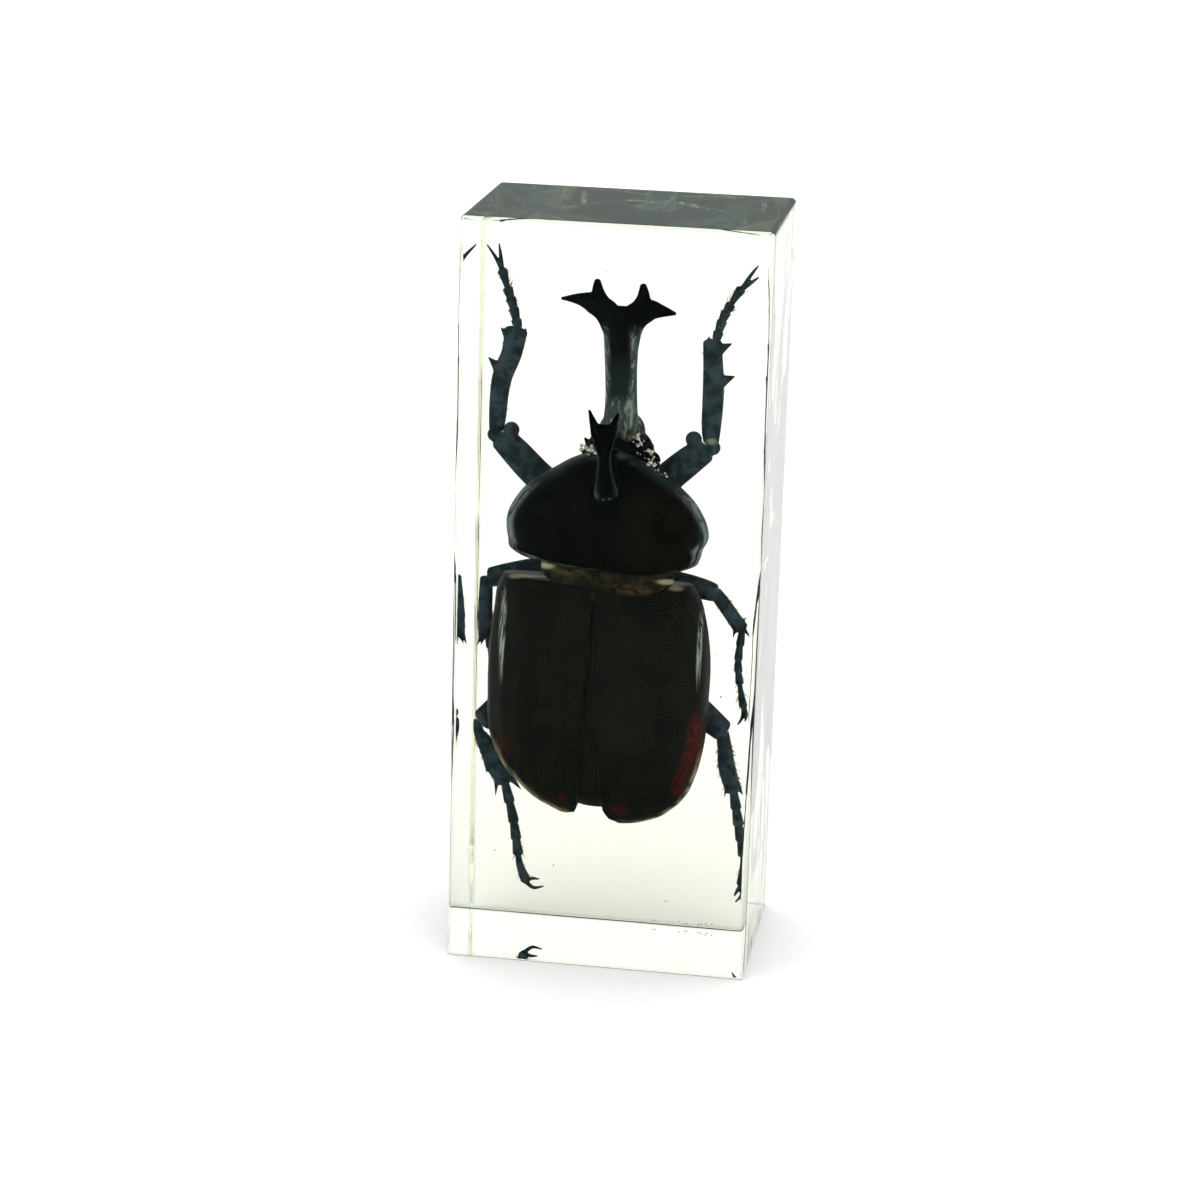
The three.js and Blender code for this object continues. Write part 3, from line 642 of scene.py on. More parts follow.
# %% Trunk
TRUNK_SECTIONS = [
    [21.7, -4.6, 1.2, -0.4, 1.4, 2.6],
    [22.8, -9, 5.9, -2.2, 1.7, 3.8],
    [26.8, -14, 10.4, -5.3, 1.8, 5.2],
    [30.3, -16, 12, -6.8, 1.8, 5.8],
    [35, -17, 12.6, -7.7, 1.8, 6.3],
    [41, -17.3, 12.9, -8.1, 1.8, 6.7],
    [47.4, -16.9, 12.7, -7.7, 1.8, 6.7],
    [51.2, -16, 11.9, -7, 1.6, 6.5],
    [54.4, -13, 9.6, -6, 1, 6],
    [57, -8.6, 6, -4.6, 0.4, 4.6],
]
BELLY_PLATE_EDGES = [25.4, 28.8, 32.2, 35.6]
BELLY_STEP = 0.3


def belly_relief(angle, z, x):
    """On the belly side, each abdominal plate rises by BELLY_STEP towards its tail edge as a saw
    tooth does, and a furrow runs along the middle of the chest."""
    edges = np.array([22.0] + BELLY_PLATE_EDGES + [39.4])
    row = np.clip(np.searchsorted(edges, z + 0 * x) - 1, 0, len(edges) - 2)
    rise = 1 - np.clip((z - edges[row]) / (edges[row + 1] - edges[row]), 0, 1)
    belly = np.clip(np.sin(angle) * 2.2, 0, 1)
    tiles = BELLY_STEP * rise * (z < 39.4) * (z > 22.0)
    furrow = -0.35 * np.exp(-((x + 2.1) / 0.7) ** 2) * np.clip((z - 43) / 2, 0, 1)
    return belly * (tiles + furrow)


HIPS = [
    lump([-4.6, 5.8, 54.6], [2.4, 2.4, 2.2]),
    lump([1.3, 5.8, 54.4], [2.4, 2.4, 2.2]),
    lump([-6.6, 5.7, 42.6], [4.8, 2.3, 2.2]),
    lump([2.4, 5.7, 42.2], [4.8, 2.3, 2.2]),
]
BODY = [plate(TRUNK_SECTIONS, relief=belly_relief, rings=220)] + HIPS
SCUTELLUM = [plate([
    [54.4, -3.8, 0.6, -7, -6.1, -5.2],
    [55, -5.6, 3.4, -6.9, -5.8, -4.8],
    [56, -7.7, 6.6, -6.6, -5.4, -4.4],
    [57, -9.4, 8.6, -6.2, -5, -4],
    [58.2, -10.3, 8.9, -5.8, -4.7, -3.7],
    [59.2, -10.4, 8.6, -5.5, -4.5, -3.5],
], rings=60, round_end=0.2)]

scutellum_room = room(SCUTELLUM, 0.25)
body_mesh = cut(melt(BODY, 0.26), [scutellum_room])
body_room = room(BODY, 0.35)
pronotum_mesh = cut(melt(PRONOTUM, 0.2), [head_room, body_room, scutellum_room])
scutellum_mesh = melt(SCUTELLUM, 0.15, smooth=2)
print("faces:", {m: len(mesh.polygons) for m, mesh in
                 (("trunk", body_mesh), ("pronotum", pronotum_mesh), ("scutellum", scutellum_mesh))})

# %% [markdown]
# ## Wing cases
# The two cases meet in a slit that opens towards the tail. Modelling each alone would leave them
# uneven at the slit, so one dome is built and cut twice, each time by all that lies beyond a seam.

# %% Wing cases
WING_SECTIONS = [
    [19.2, -5.4, 4.4, 0.4, 1.6, 2.2],
    [20, -7.3, 6.8, -0.7, 1.8, 2.5],
    [21.6, -10.6, 9.2, -2.6, 2, 2.8],
    [24.3, -13.8, 11.5, -4.9, 2, 2.9],
    [27.1, -16.2, 12.6, -6.5, 2, 3],
    [31.4, -18, 13.6, -8.2, 2, 3],
    [38.5, -18.5, 14.1, -9.25, 2, 3],
    [46, -18.3, 14.1, -9.15, 2, 3],
    [51.2, -17.7, 13.3, -8.4, 2, 2.9],
    [54.6, -17.2, 12.3, -7.5, 1.8, 2.7],
    [56.5, -16.3, 11.2, -6.7, 1.4, 2.3],
]
LEFT_SEAM = [[-11, 15], [-7.9, 19.9], [-6.2, 20.1], [-4.9, 20.6], [-4.4, 22], [-3.3, 40], [-2.7, 53],
             [-2.7, 60]]
RIGHT_SEAM = [[1.8, 15], [1.3, 19.2], [0.1, 19.8], [-0.6, 21.4], [-1.9, 40], [-2.3, 53], [-2.3, 60]]
CUT_REACH = 40


def wing_relief(angle, z, x):
    """Faint lengthwise ribs across the back, a fine lip along the outer rim, and the knob that
    each case has at its shoulder."""
    back = np.clip(-np.sin(angle) * 2, 0, 1)
    ribs = 0.05 * np.cos((x + 2.4) * 2 * np.pi / 2.6) * back
    lip = 0.1 * np.exp(-(np.sin(angle) / 0.09) ** 2)
    knob = 0.35 * np.exp(-(((np.abs(x + 2.5) - 10.5) / 2.0) ** 2 + ((z - 53) / 2.2) ** 2)) * back
    return ribs + lip + knob


def beyond(seam, side):
    """Everything on one side of a seam: a four-sided tube whose corners follow the seam."""
    line = np.array(seam, float)
    x = np.column_stack([line[:, 0], np.full(len(line), side * CUT_REACH)])
    y = np.array([-CUT_REACH, CUT_REACH])
    order = [(0, 0), (1, 0), (1, 1), (0, 1)] if side > 0 else [(0, 0), (0, 1), (1, 1), (1, 0)]
    rings = np.stack([np.column_stack([x[:, a], np.full(len(line), y[b]), line[:, 1]])
                      for a, b in order], axis=1)
    return mesh_of("beyond", *closed_skin(rings, rings[0].mean(axis=0), rings[-1].mean(axis=0)))


dome = [plate(WING_SECTIONS, relief=wing_relief, sides=260, rings=220)]
trunk_room = room([plate(TRUNK_SECTIONS)], 0.3)
wing_meshes = {
    side: cut(melt(dome, 0.22, smooth=2), [trunk_room, scutellum_room, beyond(seam, way)], remesh_at=0.2)
    for side, seam, way in (("left", LEFT_SEAM, 1), ("right", RIGHT_SEAM, -1))
}
print("wing cases:", {side: len(mesh.polygons) for side, mesh in wing_meshes.items()}, "faces")

# %% [markdown]
# ## Material of the wing cases
# The cases are brown black and nearly opaque. Only their thin margin lets some red light through.
# Subsurface scattering could do that at a great cost in noise, so the red is laid on as mottled
# spots. The long shine on each flank is a painted highlight laid on too, since wetted chitin hardly
# mirrors, and so are the cream lines along the lower rim and the front edges.

# %% Material of the wing cases
WING_REDS = [
    ([12.7, -3, 33.8], [0.9, 5, 3.4], "#6d151b"),
    ([12.0, -3, 30.0], [1.0, 5, 2.6], "#641419"),
    ([10.7, -3, 26.6], [1.0, 5, 2.3], "#5a1216"),
    ([1.9, -1, 22.1], [1.1, 5, 0.8], "#641512"),
    ([-7.0, -1, 22.9], [1.1, 5, 0.7], "#641512"),
    ([-15.2, -3, 30.6], [0.8, 5, 2.2], "#45100f"),
]
WING_SHINES = [
    ([-15.9, -6, 48.5], [0.6, 5, 6.0], "#c3cbc4"),
    ([12.9, -5, 49.5], [0.35, 5, 6.5], "#c3cbc4"),
]
# Painted highlights: cream spots along each case's front edge.
WING_FRONT_HIGHLIGHTS = [
    ([-13.0, -2.8, 57], [3.6, 1.1, 0.7], "#cfcab0"),
    ([8.8, -3.2, 57], [3.2, 1.1, 0.7], "#cfcab0"),
]
SLIT_X = -2.4  # the slit's mean place


def paint_wing(tree, at, colour):
    """Dull red where the thin outer margin and the tips let light through, a cream line of painted
    highlight along the lower rim and the front edge, and a grey shine, also painted, along the flanks."""
    colour = spots(tree, at, colour, WING_REDS, 0.8, streaks(tree, at, 0.5, 0.9, 0.36, 0.66))
    colour = spots(tree, at, colour, WING_SHINES, 0.5, streaks(tree, at, 0.35, 10.0, 0.42, 0.6))
    colour = spots(tree, at, colour, WING_FRONT_HIGHLIGHTS, 0.6)
    x, _, z = xyz(tree, at)
    side = sum_of(tree, "ABSOLUTE", sum_of(tree, "ADD", x, -SLIT_X * MM))
    # Painted highlight: a cream line along the lower rim, where the surface turns away.
    rim = times(tree, glancing(tree, 0.58, 0.76), between(tree, z, 33.0, 27.0))
    rim = times(tree, rim, between(tree, side, 2.6, 3.8, 0.85))
    return lay(tree, colour, "#aaa47f", times(tree, rim, streaks(tree, at, 1.5, 1.5, 0.35, 0.55)))


WING_CHITIN = chitin("wetted_chitin_of_the_wing_cases", "#0e120f", "#191812", pit_mm=0.5,
                     paint=paint_wing)

# %% [markdown]
# ## Material of the pronotum
# This is the blackest part, and it is told apart from the rest by its rim alone, which carries a
# painted gleam and a painted bluish sheen where it turns away. A Layer Weight node gives that turn
# from any side the block is seen.

# %% Material of the pronotum
# The pale spots on the front edge are painted reflection.
SHIELD_EDGES = [
    ([-3.2, -4.6, 75.3], [1.6, 2.5, 0.5], "#4a5047"),
    ([1.4, -4.4, 75.6], [1.2, 2.5, 0.5], "#8f8e78"),
    ([3.4, -3.6, 74.6], [1.2, 2.5, 0.4], "#553c20"),
]
SHIELD_DOTS = [
    ([-1.2, -9.0, 69.8], [0.2, 1.5, 0.18], "#59605c"),
    ([-0.3, -9.0, 70.0], [0.2, 1.5, 0.18], "#59605c"),
]
SHIELD_BROWN = [([7.5, -7, 65.0], [5, 6, 5.5], "#17130f")]


def paint_shield(tree, at, colour):
    """The small horn is pure black with a painted silver highlight along its fork's right edge. Round
    its foot the shield's front edge is wetted least and is painted pale, as a painted reflection, and
    its flanks carry a painted bluish sheen and a painted gleam where they turn away."""
    colour = lay(tree, colour, "#010202", spot(tree, at, [-1.1, -12, 77], [4, 3.6, 8.5], 0.25))
    x, _, z = xyz(tree, at)
    # Painted highlight: a silver line along the fork's right edge, where it turns away.
    edge = times(tree, glancing(tree, 0.72, 0.9), between(tree, x, -1.7, -0.9))
    colour = lay(tree, colour, "#b9c2bd", times(tree, edge, between(tree, z, 76, 78)))
    colour = spots(tree, at, colour, SHIELD_EDGES, 0.7)
    colour = spots(tree, at, colour, SHIELD_DOTS, 0.3)
    colour = spots(tree, at, colour, SHIELD_BROWN, 0.7, streaks(tree, at, 3.0, 3.0, 0.3, 0.6))
    # Painted sheen and highlight: a bluish brim and a gleam on the flanks, where they turn away.
    brim_sheen = times(tree, glancing(tree, 0.3, 0.75), between(tree, z, 60.0, 64.0, 0.9))
    colour = lay(tree, colour, "#2c3a40", brim_sheen)
    gleam = times(tree, glancing(tree, 0.45, 0.65), between(tree, z, 58.5, 61.0))
    gleam = times(tree, gleam, between(tree, z, 71.5, 68.5))
    return lay(tree, colour, "#8b9797", times(tree, gleam, streaks(tree, at, 1.0, 3.5, 0.36, 0.6)))


PRONOTUM_CHITIN = chitin("wetted_chitin_of_the_pronotum", "#010302", "#060806", pit_mm=0.3, ior=1.05,
                         sheen=0.015, paint=paint_shield)

# %% [markdown]
# ## Materials of the scutellum and the trunk
# The scutellum is a thin olive plate, torn and patched with rust, with cream wedges at its ends that
# are painted highlights. The trunk is dark brown. Both are chitin again, so they only add their own
# spots.

# %% Materials of the scutellum and the trunk
SCUTELLUM_PATCHES = [
    ([-6.5, -5, 58.2], [2.4, 3, 0.5], "#57523a"),
    ([3.0, -6, 56.4], [2.0, 3, 0.6], "#5d4630"),
]
# Painted highlights: cream wedges at both ends of the plate.
SCUTELLUM_WEDGE_HIGHLIGHTS = [
    ([-9.6, -5, 58.9], [1.1, 3, 0.45], "#d2c99e"),
    ([8.0, -5, 57.7], [1.3, 3, 0.35], "#b9b294"),
]


def paint_scutellum(tree, at, colour):
    """Cream wedges at both ends of the olive plate, which are painted highlights, and a rusty patch where it
    is torn.
    """
    colour = spots(tree, at, colour, SCUTELLUM_PATCHES, 0.8, streaks(tree, at, 1.0, 0.4, 0.34, 0.66))
    return spots(tree, at, colour, SCUTELLUM_WEDGE_HIGHLIGHTS, 0.6)


def paint_trunk(tree, at, colour):
    """Dark brown towards the tail, where the belly plates are thinner and redder."""
    return lay(tree, colour, "#1d1a11", between(tree, xyz(tree, at)[2], 40, 26, 0.6))


SCUTELLUM_CHITIN = chitin("olive_chitin_of_the_scutellum", "#1b1b12", "#3a3525", cloud_mm=1.2,
                          paint=paint_scutellum)
TRUNK_CHITIN = chitin("brown_chitin_of_the_trunk", "#10100b", "#1c1811", pit_mm=0.4, pit_depth=0.01,
                      paint=paint_trunk)
piece("pronotum_and_horn", pronotum_mesh, PRONOTUM_CHITIN, ["pronotum"])
piece("scutellum_plate", scutellum_mesh, SCUTELLUM_CHITIN, ["scutellum"])
piece("thorax_and_abdomen", body_mesh, TRUNK_CHITIN, ["body"])
for side, mesh in wing_meshes.items():
    piece(f"wing_case_{side}", mesh, WING_CHITIN, [f"elytron_{side}"])

# %% [markdown]
# ## Legs
# A beetle's leg is a thick thigh, a shin with teeth and spurs, and a tarsus of five beads that
# ends in two hooks. Each is a limb with its own path. The tables give the middle line and the half
# width at each station, from the hip outwards.

# %% Paths of the legs
LEGS = {
    "front_left": {
        "femur": [[-6.6, 7.2, 66.4, 2], [-9.6, 7.6, 67.9, 2.3], [-12.5, 7.5, 70.1, 2.3],
                  [-15.6, 7.2, 73.2, 2.2], [-17.7, 7, 75.3, 1.95]],
        "knee": [[[-16.4, 6.8, 76.7], [1.2, 1.2, 1.2]], [[-18.95, 7, 75.8], [1.05, 1.1, 1.05]]],
        "tibia": [[-18.75, 7.1, 75.6, 0.95], [-18.6, 7.5, 78.2, 1.28], [-18.4, 7.8, 82, 1.4],
                  [-18, 8, 84.5, 1.5], [-16.8, 8.5, 87.8, 1.53], [-16.3, 9, 91, 1.7]],
        "spines": [[[-18.2, 8.1, 85.1], [-20.15, 7.9, 87.05], 1.25],
                   [[-17, 9, 89.8], [-18.55, 9, 91.35], 1.15], [[-15, 9, 90.6], [-14.8, 9, 91.6], 0.4]],
        "toes": [[-15.95, 9.1, 91.1], [-16.9, 10, 94.4], [-18, 10.7, 97.4], [-18.75, 11.2, 99.6]],
        "toe_radius": 0.74,
        "claws": [[[-18.75, 11.2, 99.4], [-19.8, 11.9, 101.1], [-21.2, 12.8, 102.8]],
                  [[-18.75, 11.2, 99.4], [-19.1, 11.9, 101.5], [-19.4, 12.3, 103.15]]],
    },
    "front_right": {
        "femur": [[3.6, 7.2, 67.6, 2], [5.2, 7.6, 69.4, 2.3], [7, 7.5, 71.3, 2.25], [9.6, 7.2, 73.7, 2.15],
                  [11.6, 7, 75.4, 1.95]],
        "knee": [[[10.2, 6.8, 77], [1.2, 1.2, 1.2]], [[13, 7, 75.9], [1.1, 1.1, 1.1]]],
        "tibia": [[12.75, 7.1, 75.6, 0.95], [12.6, 7.5, 78.2, 1.36], [12.65, 8.1, 83.2, 1.55],
                  [12.5, 8.6, 86.8, 1.48], [12.15, 9.1, 91, 1.35]],
        "spines": [[[13.3, 8.8, 85.3], [15.6, 8.8, 86.3], 1.25], [[12.9, 9, 89.9], [15, 9, 91], 1.1],
                   [[11.5, 9.2, 91], [11.7, 9.2, 91.95], 0.4]],
        "toes": [[12.6, 9.1, 91], [13.5, 10.2, 94.4], [14.7, 10.8, 96.8], [15.9, 11.2, 98.8]],
        "toe_radius": 0.72,
        "claws": [[[15.9, 11.2, 98.6], [17, 11.8, 100.5], [18.05, 12.2, 102.05]],
                  [[15.9, 11.2, 98.6], [17.3, 11.6, 99.7], [18.2, 11.8, 100.45]]],
    },
    "middle_left": {
        "femur": [[-6.8, 8, 55.5, 1.9], [-11.6, 7.8, 55.7, 1.95], [-16.3, 7.2, 54.9, 1.75],
                  [-19, 7, 54.3, 1.5]],
        "tibia": [[-19.7, 7.1, 54, 1], [-19.9, 8, 49, 1.1], [-19.8, 9, 44.9, 1.25]],
        "spines": [[[-20.6, 8.1, 48.8], [-21.2, 8.1, 47.5], 0.45],
                   [[-20.5, 8.7, 47.4], [-21.15, 8.8, 46], 0.4],
                   [[-20.4, 9.2, 45.6], [-21.3, 9.7, 42.9], 0.5], [[-20, 9.2, 45], [-20.9, 9.9, 42.8], 0.4],
                   [[-19.2, 9.2, 45], [-18.8, 9.4, 43], 0.5]],
        "toes": [[-19.6, 9.3, 44.6], [-18.6, 10.1, 40], [-16.9, 10.9, 33.4]],
        "toe_radius": 0.6,
        "claws": [[[-16.9, 10.9, 33.7], [-16.6, 11.1, 32.4], [-15.6, 11.3, 31.4]],
                  [[-16.9, 10.9, 33.7], [-17.2, 11.1, 32.2], [-16.7, 11.4, 30.9]]],
    },
    "middle_right": {
        "femur": [[3.6, 8, 55.2, 1.9], [8.1, 7.8, 55.2, 1.83], [12.2, 7.2, 54.7, 1.6], [14, 7, 54.3, 1.4]],
        "tibia": [[14.1, 7.1, 54.3, 1], [15.4, 7.6, 52.6, 1.08], [17.9, 8.7, 48.9, 1.12]],
        "spines": [[[17.8, 8.6, 49.8], [19, 8.8, 50.8], 0.3], [[17.2, 8.6, 49], [16.8, 8.8, 46.9], 0.4],
                   [[18.3, 8.7, 48.9], [19.4, 8.8, 47.4], 0.4]],
        "toes": [[18.1, 9, 48.3], [17.7, 9.7, 43.4], [18.1, 10, 39.6], [18.7, 10, 36.4]],
        "toe_radius": 0.58,
        "claws": [[[18.7, 10, 36.7], [18.6, 10.2, 35], [18, 10.3, 33.7]],
                  [[18.7, 10, 36.7], [19.1, 9.9, 35.4], [19, 9.8, 34.4]]],
    },
    "hind_left": {
        "femur": [[-9.4, 8.2, 41.2, 2.1], [-12.4, 7.6, 39, 2.35], [-15, 6.6, 36.8, 2.3],
                  [-17.5, 5.3, 34.4, 2.05], [-19.5, 4.3, 32.7, 1.75]],
        "tibia": [[-20.1, 4.2, 32.5, 0.85], [-20.2, 4.5, 31.1, 0.78], [-19.5, 5, 29.5, 1.15],
                  [-18.5, 5.8, 27.6, 1.5], [-17.6, 6.5, 25.4, 1.7], [-16.4, 7.4, 22.8, 1.4]],
        "spines": [[[-19.6, 5.6, 28.2], [-20.15, 5.6, 27.1], 0.35],
                   [[-19.1, 6.2, 26], [-19.05, 6.3, 23.8], 0.5],
                   [[-17.6, 7.5, 23], [-17.8, 7.8, 19.9], 0.5],
                   [[-15.5, 7.4, 23.3], [-13.8, 7.6, 21.35], 0.6]],
        "toes": [[-16.4, 7.7, 22.4], [-15.2, 9.3, 16.4], [-14.6, 10.5, 11.6], [-14.2, 11.2, 8.6],
                 [-13.2, 11.8, 5.8]],
        "toe_radius": 0.78,
        "claws": [[[-13.2, 11.8, 5.7], [-12.1, 12, 4.9], [-10.6, 12.2, 5.2]],
                  [[-13.2, 11.8, 6], [-12.4, 12, 6.35], [-11.25, 12, 6.35]]],
    },
    "hind_right": {
        "femur": [[5.2, 8.2, 41, 2.1], [8, 8, 39.4, 2.3], [11, 7.2, 37.3, 2.15], [13.9, 6.2, 35.2, 2],
                  [16.1, 5.4, 33.7, 1.75]],
        "tibia": [[16.1, 5.5, 33.4, 1], [16.5, 6.1, 31, 1.1], [16.9, 6.9, 27.7, 1.3], [17.9, 7.8, 24, 1.2]],
        "spines": [[[17, 7.7, 24.5], [16.6, 7.8, 22.6], 0.4], [[18.6, 7.7, 24.6], [19.4, 7.8, 23.2], 0.45]],
        "toes": [[18, 8, 23.5], [18.8, 9.3, 18], [19.6, 10, 12.6], [19.5, 10, 8.4]],
        "toe_radius": 0.74,
        "claws": [[[19.5, 10, 8.7], [19.5, 10.2, 7], [18.7, 10.3, 5.7]],
                  [[19.5, 10, 8.7], [18.9, 10.1, 7.6], [18.5, 10.2, 6.7]]],
    },
}
for name, leg in LEGS.items():
    lengths = [np.linalg.norm(np.diff(np.array(leg[part])[:, :3], axis=0), axis=1).sum()
               for part in ("femur", "tibia", "toes")]
    print(name, "thigh, shin and toes in mm:", np.round(lengths, 1))

# %% [markdown]
# ## Shells of the legs
# Thigh, shin and tarsus are hard shells with soft skin between them. Each is melted from its
# forms and then loses the room of the one before it, so that no two touch. Fusing a whole leg
# would be quicker, but then it would not be the jointed thing it is.

# %% Legs
FEMUR_FLATNESS = 0.72
TIBIA_FLATNESS = 0.75
CLAW_RADII = [0.36, 0.28, 0.12]
BEAD_ENDS = np.array([0.0, 0.17, 0.34, 0.5, 0.66, 1.0])


def bead_profile(t):
    """Each bead of the tarsus starts narrow, flares towards its end and closes sharply."""
    row = np.clip(np.searchsorted(BEAD_ENDS, t, side="right") - 1, 0, 4)
    s = (t - BEAD_ENDS[row]) / np.diff(BEAD_ENDS)[row]
    flare = np.where(row == 4, 0.6 + 0.5 * s ** 1.2, 0.78 + 0.32 * s ** 0.8)
    return flare * (1 - 0.35 * np.clip((s - 0.92) / 0.08, 0, 1))


def leg_forms(leg):
    """The forms of thigh, shin and tarsus, by name."""
    toes = [point + [leg["toe_radius"]] for point in leg["toes"]]
    return {
        "femur": [limb(leg["femur"], FEMUR_FLATNESS)] + [lump(*ball) for ball in leg.get("knee", [])],
        "tibia": [limb(leg["tibia"], TIBIA_FLATNESS)] + [tooth(*spine) for spine in leg["spines"]],
        "tarsus": [limb(toes, sides=20, rings=200, profile=bead_profile)]
        + [limb([point + [r] for point, r in zip(claw, CLAW_RADII)], sides=16, rings=40)
           for claw in leg["claws"]],
    }


def paint_legs(tree, at, colour):
    """A pale spot at one knee's joint, which is a painted highlight."""
    return spots(tree, at, colour, [([12.8, 6.0, 76.9], [0.7, 2, 0.4], "#aeb3a8")], 0.6)


LEG_CHITIN = chitin("wetted_chitin_of_the_legs", "#2c3942", "#4b5b68", roughness=0.4, pit_mm=0.3,
                    pit_depth=0.01, cloud_mm=2.0, paint=paint_legs)
trunk_and_hips_room = room(BODY + PRONOTUM, 0.35)
for leg_name, leg in LEGS.items():
    forms = leg_forms(leg)
    rooms = {"femur": trunk_and_hips_room, "tibia": room(forms["femur"], 0.25),
             "tarsus": room(forms["tibia"], 0.2)}
    for part, voxel in (("femur", 0.16), ("tibia", 0.13), ("tarsus", 0.09)):
        mesh = cut(melt(forms[part], voxel, smooth=2), [rooms[part]])
        piece(f"{leg_name}_{part}_shell", mesh, LEG_CHITIN, [f"{leg_name}_{part}"])

# %% [markdown]
# ## Bristles
# Shins and tarsi carry rows of short rusty bristles. They are thin cones set along each leg's path,
# standing out to both sides and leaning towards the claws. Cones are closed and cheap, so they
# serve here better than hair curves.

# %% Bristles
BRISTLE_LENGTH = (0.6, 1.25)
BRISTLE_RADIUS = 0.065
BRISTLE_SIDES = 5
SHIN_BRISTLES = {"front": 10, "middle": 10, "hind": 44}
TOE_BRISTLES = 14
random = np.random.default_rng(7)


def bristle(base, tip):
    """A thin cone from base to tip: one ring round the base and a point at each end."""
    forward = unit(tip - base)
    across = unit(np.cross(forward, [0.3, 0.5, 0.8]))
    third = np.cross(forward, across)
    turn = np.linspace(0, 2 * np.pi, BRISTLE_SIDES, endpoint=False)[:, None]
    ring = base + BRISTLE_RADIUS * (np.cos(turn) * across + np.sin(turn) * third)
    halfway = ring + 0.5 * (tip - base) - 0.4 * (ring - base)
    return closed_skin(np.stack([ring, halfway]), base - 0.02 * forward, tip)


def bristles_of(leg, shin_count, toe_count):
    """Bristles at random steps along the shin and the tarsus, on both edges and a little round."""
    cones = []
    toes = [point + [leg["toe_radius"] * 0.8] for point in leg["toes"]]
    for path, count in ((np.array(leg["tibia"]), shin_count), (np.array(toes), toe_count)):
        steps = random.uniform(0.25, 0.98, count) * (len(path) - 1)
        rows = np.column_stack([np.interp(steps, np.arange(len(path)), path[:, i]) for i in range(4)])
        row_before = steps.astype(int)
        row_after = np.minimum(row_before + 1, len(path) - 1)
        ahead = unit(path[row_after, :3] - path[row_before, :3])
        for row, forward in zip(rows, ahead):
            out = unit(np.cross(forward, [0, 1, 0])) * random.choice([-1, 1])
            out = unit(out + [0, random.uniform(-0.5, 0.5), 0])
            base = row[:3] + out * row[3] * 0.85
            lean = out * 0.7 + forward * 0.8
            cones.append(bristle(base, base + lean * random.uniform(*BRISTLE_LENGTH)))
    return cones


def rusty_hair():
    """Bristles are chitin too thin to look black: dark rust at the root, amber at the point."""
    material, tree, at = new_material("rusty_bristle")
    colour = blend(tree, noise(tree, at, 1.5), "#6b3f1c", "#c98443")
    return dress(material, tree, {"Roughness": 0.45, "IOR": 1.15}, {"Base Color": colour})


cones = []
for leg_name, leg in LEGS.items():
    cones += bristles_of(leg, SHIN_BRISTLES[leg_name.split("_")[0]], TOE_BRISTLES)
piece("leg_bristles", mesh_of("bristles", *joined(cones)), rusty_hair())

# %% [markdown]
# ## Trapped air and dust
# Air clings to the rough parts of the head when the resin is poured, and sets there as a froth of
# tiny bubbles. Light cannot leave the resin into a bubble at a slant, so a bubble looks like a bead
# of quicksilver. It could be a hole in the resin, but so small a hole takes many bounces and stays
# noisy, so it is made as the bead it looks like. A few specks of dust hang in the block as well.

# %% Air and dust
BUBBLE_TRAILS = [  # a trail of froth from one point to another, how many, and how far they scatter
    ([2.6, -1.3, 78.2], [4.4, -1.9, 75.6], 22, 0.45),
    ([4.4, -1.9, 75.6], [6.0, -1.6, 72.8], 24, 0.45),
    ([-5.2, -2.2, 76.0], [-3.2, -3.4, 76.0], 28, 0.36),
    ([5.6, 14.0, 0.8], [15.4, 14.0, 0.75], 10, 0.12),
]
BUBBLE_RADII = (0.1, 0.34)
DUST = [([-15.9, -8, 15.3], 0.12), ([-7.1, -8, 13.7], 0.12), ([9.7, -8, 9.5], 0.13), ([15.8, -8, 48.0], 0.1),
        ([16.6, -8, 41.6], 0.16), ([21.5, 3, 22.5], 0.14), ([-3, 4, 101], 0.1), ([9, -3, 47.0], 0.1)]


def beads(trails):
    """Balls of random size, scattered about points along each trail."""
    balls = []
    for start, end, count, scatter in trails:
        for step in random.uniform(0, 1, count):
            centre = np.array(start) + step * (np.array(end) - start)
            centre = centre + random.normal(0, scatter, 3) * [1, 0.5, 1]
            radius = BUBBLE_RADII[0] + (BUBBLE_RADII[1] - BUBBLE_RADII[0]) * random.uniform(0, 1) ** 2
            balls.append(lump(centre.tolist(), [min(radius, scatter)] * 3, sides=14, rings=10)())
    return balls


def quicksilver():
    """An air bubble seen from inside the resin mirrors nearly everything round it."""
    material, tree, at = new_material("trapped_air")
    tint = blend(tree, noise(tree, at, 0.3), "#d3d8d0", "#fbfcf8")
    return dress(material, tree, {"Metallic": 0.75, "Roughness": 0.15}, {"Base Color": tint})


def dust():
    """Brown grey dust."""
    material, tree, at = new_material("dust")
    tint = blend(tree, noise(tree, at, 0.2), "#2a2622", "#6b6458")
    return dress(material, tree, {"Roughness": 0.8}, {"Base Color": tint})


piece("trapped_air", mesh_of("air", *joined(beads(BUBBLE_TRAILS))), quicksilver())
specks = [lump(centre, [radius, radius, 0.7 * radius], sides=8, rings=6)() for centre, radius in DUST]
piece("dust_specks", mesh_of("dust", *joined(specks)), dust())

# %% [markdown]
# ## The block
# The block is polyester resin, cast in a mould round the insect and then polished. Its edges are
# rounded, and its faces are not quite flat. The edges round the foot are rounded on the real block
# too. Here they are nearly sharp, because a larger radius draws a thick dark line along the foot.
# It is a box whose every point near an edge is pulled onto a ball or a cylinder of the edge's
# radius. A bevel modifier would give one radius only, and no waves.

# %% Block
BLOCK_HALF = np.array([22.0, 15.0, 55.0])
EDGE_RADIUS = 0.85  # of the upright and top edges
FOOT_RADIUS = 0.22  # of the edges round the foot
TAPER = 5.0  # an upright edge turns from one radius to the other over this height
POLISH_WAVE = 0.03


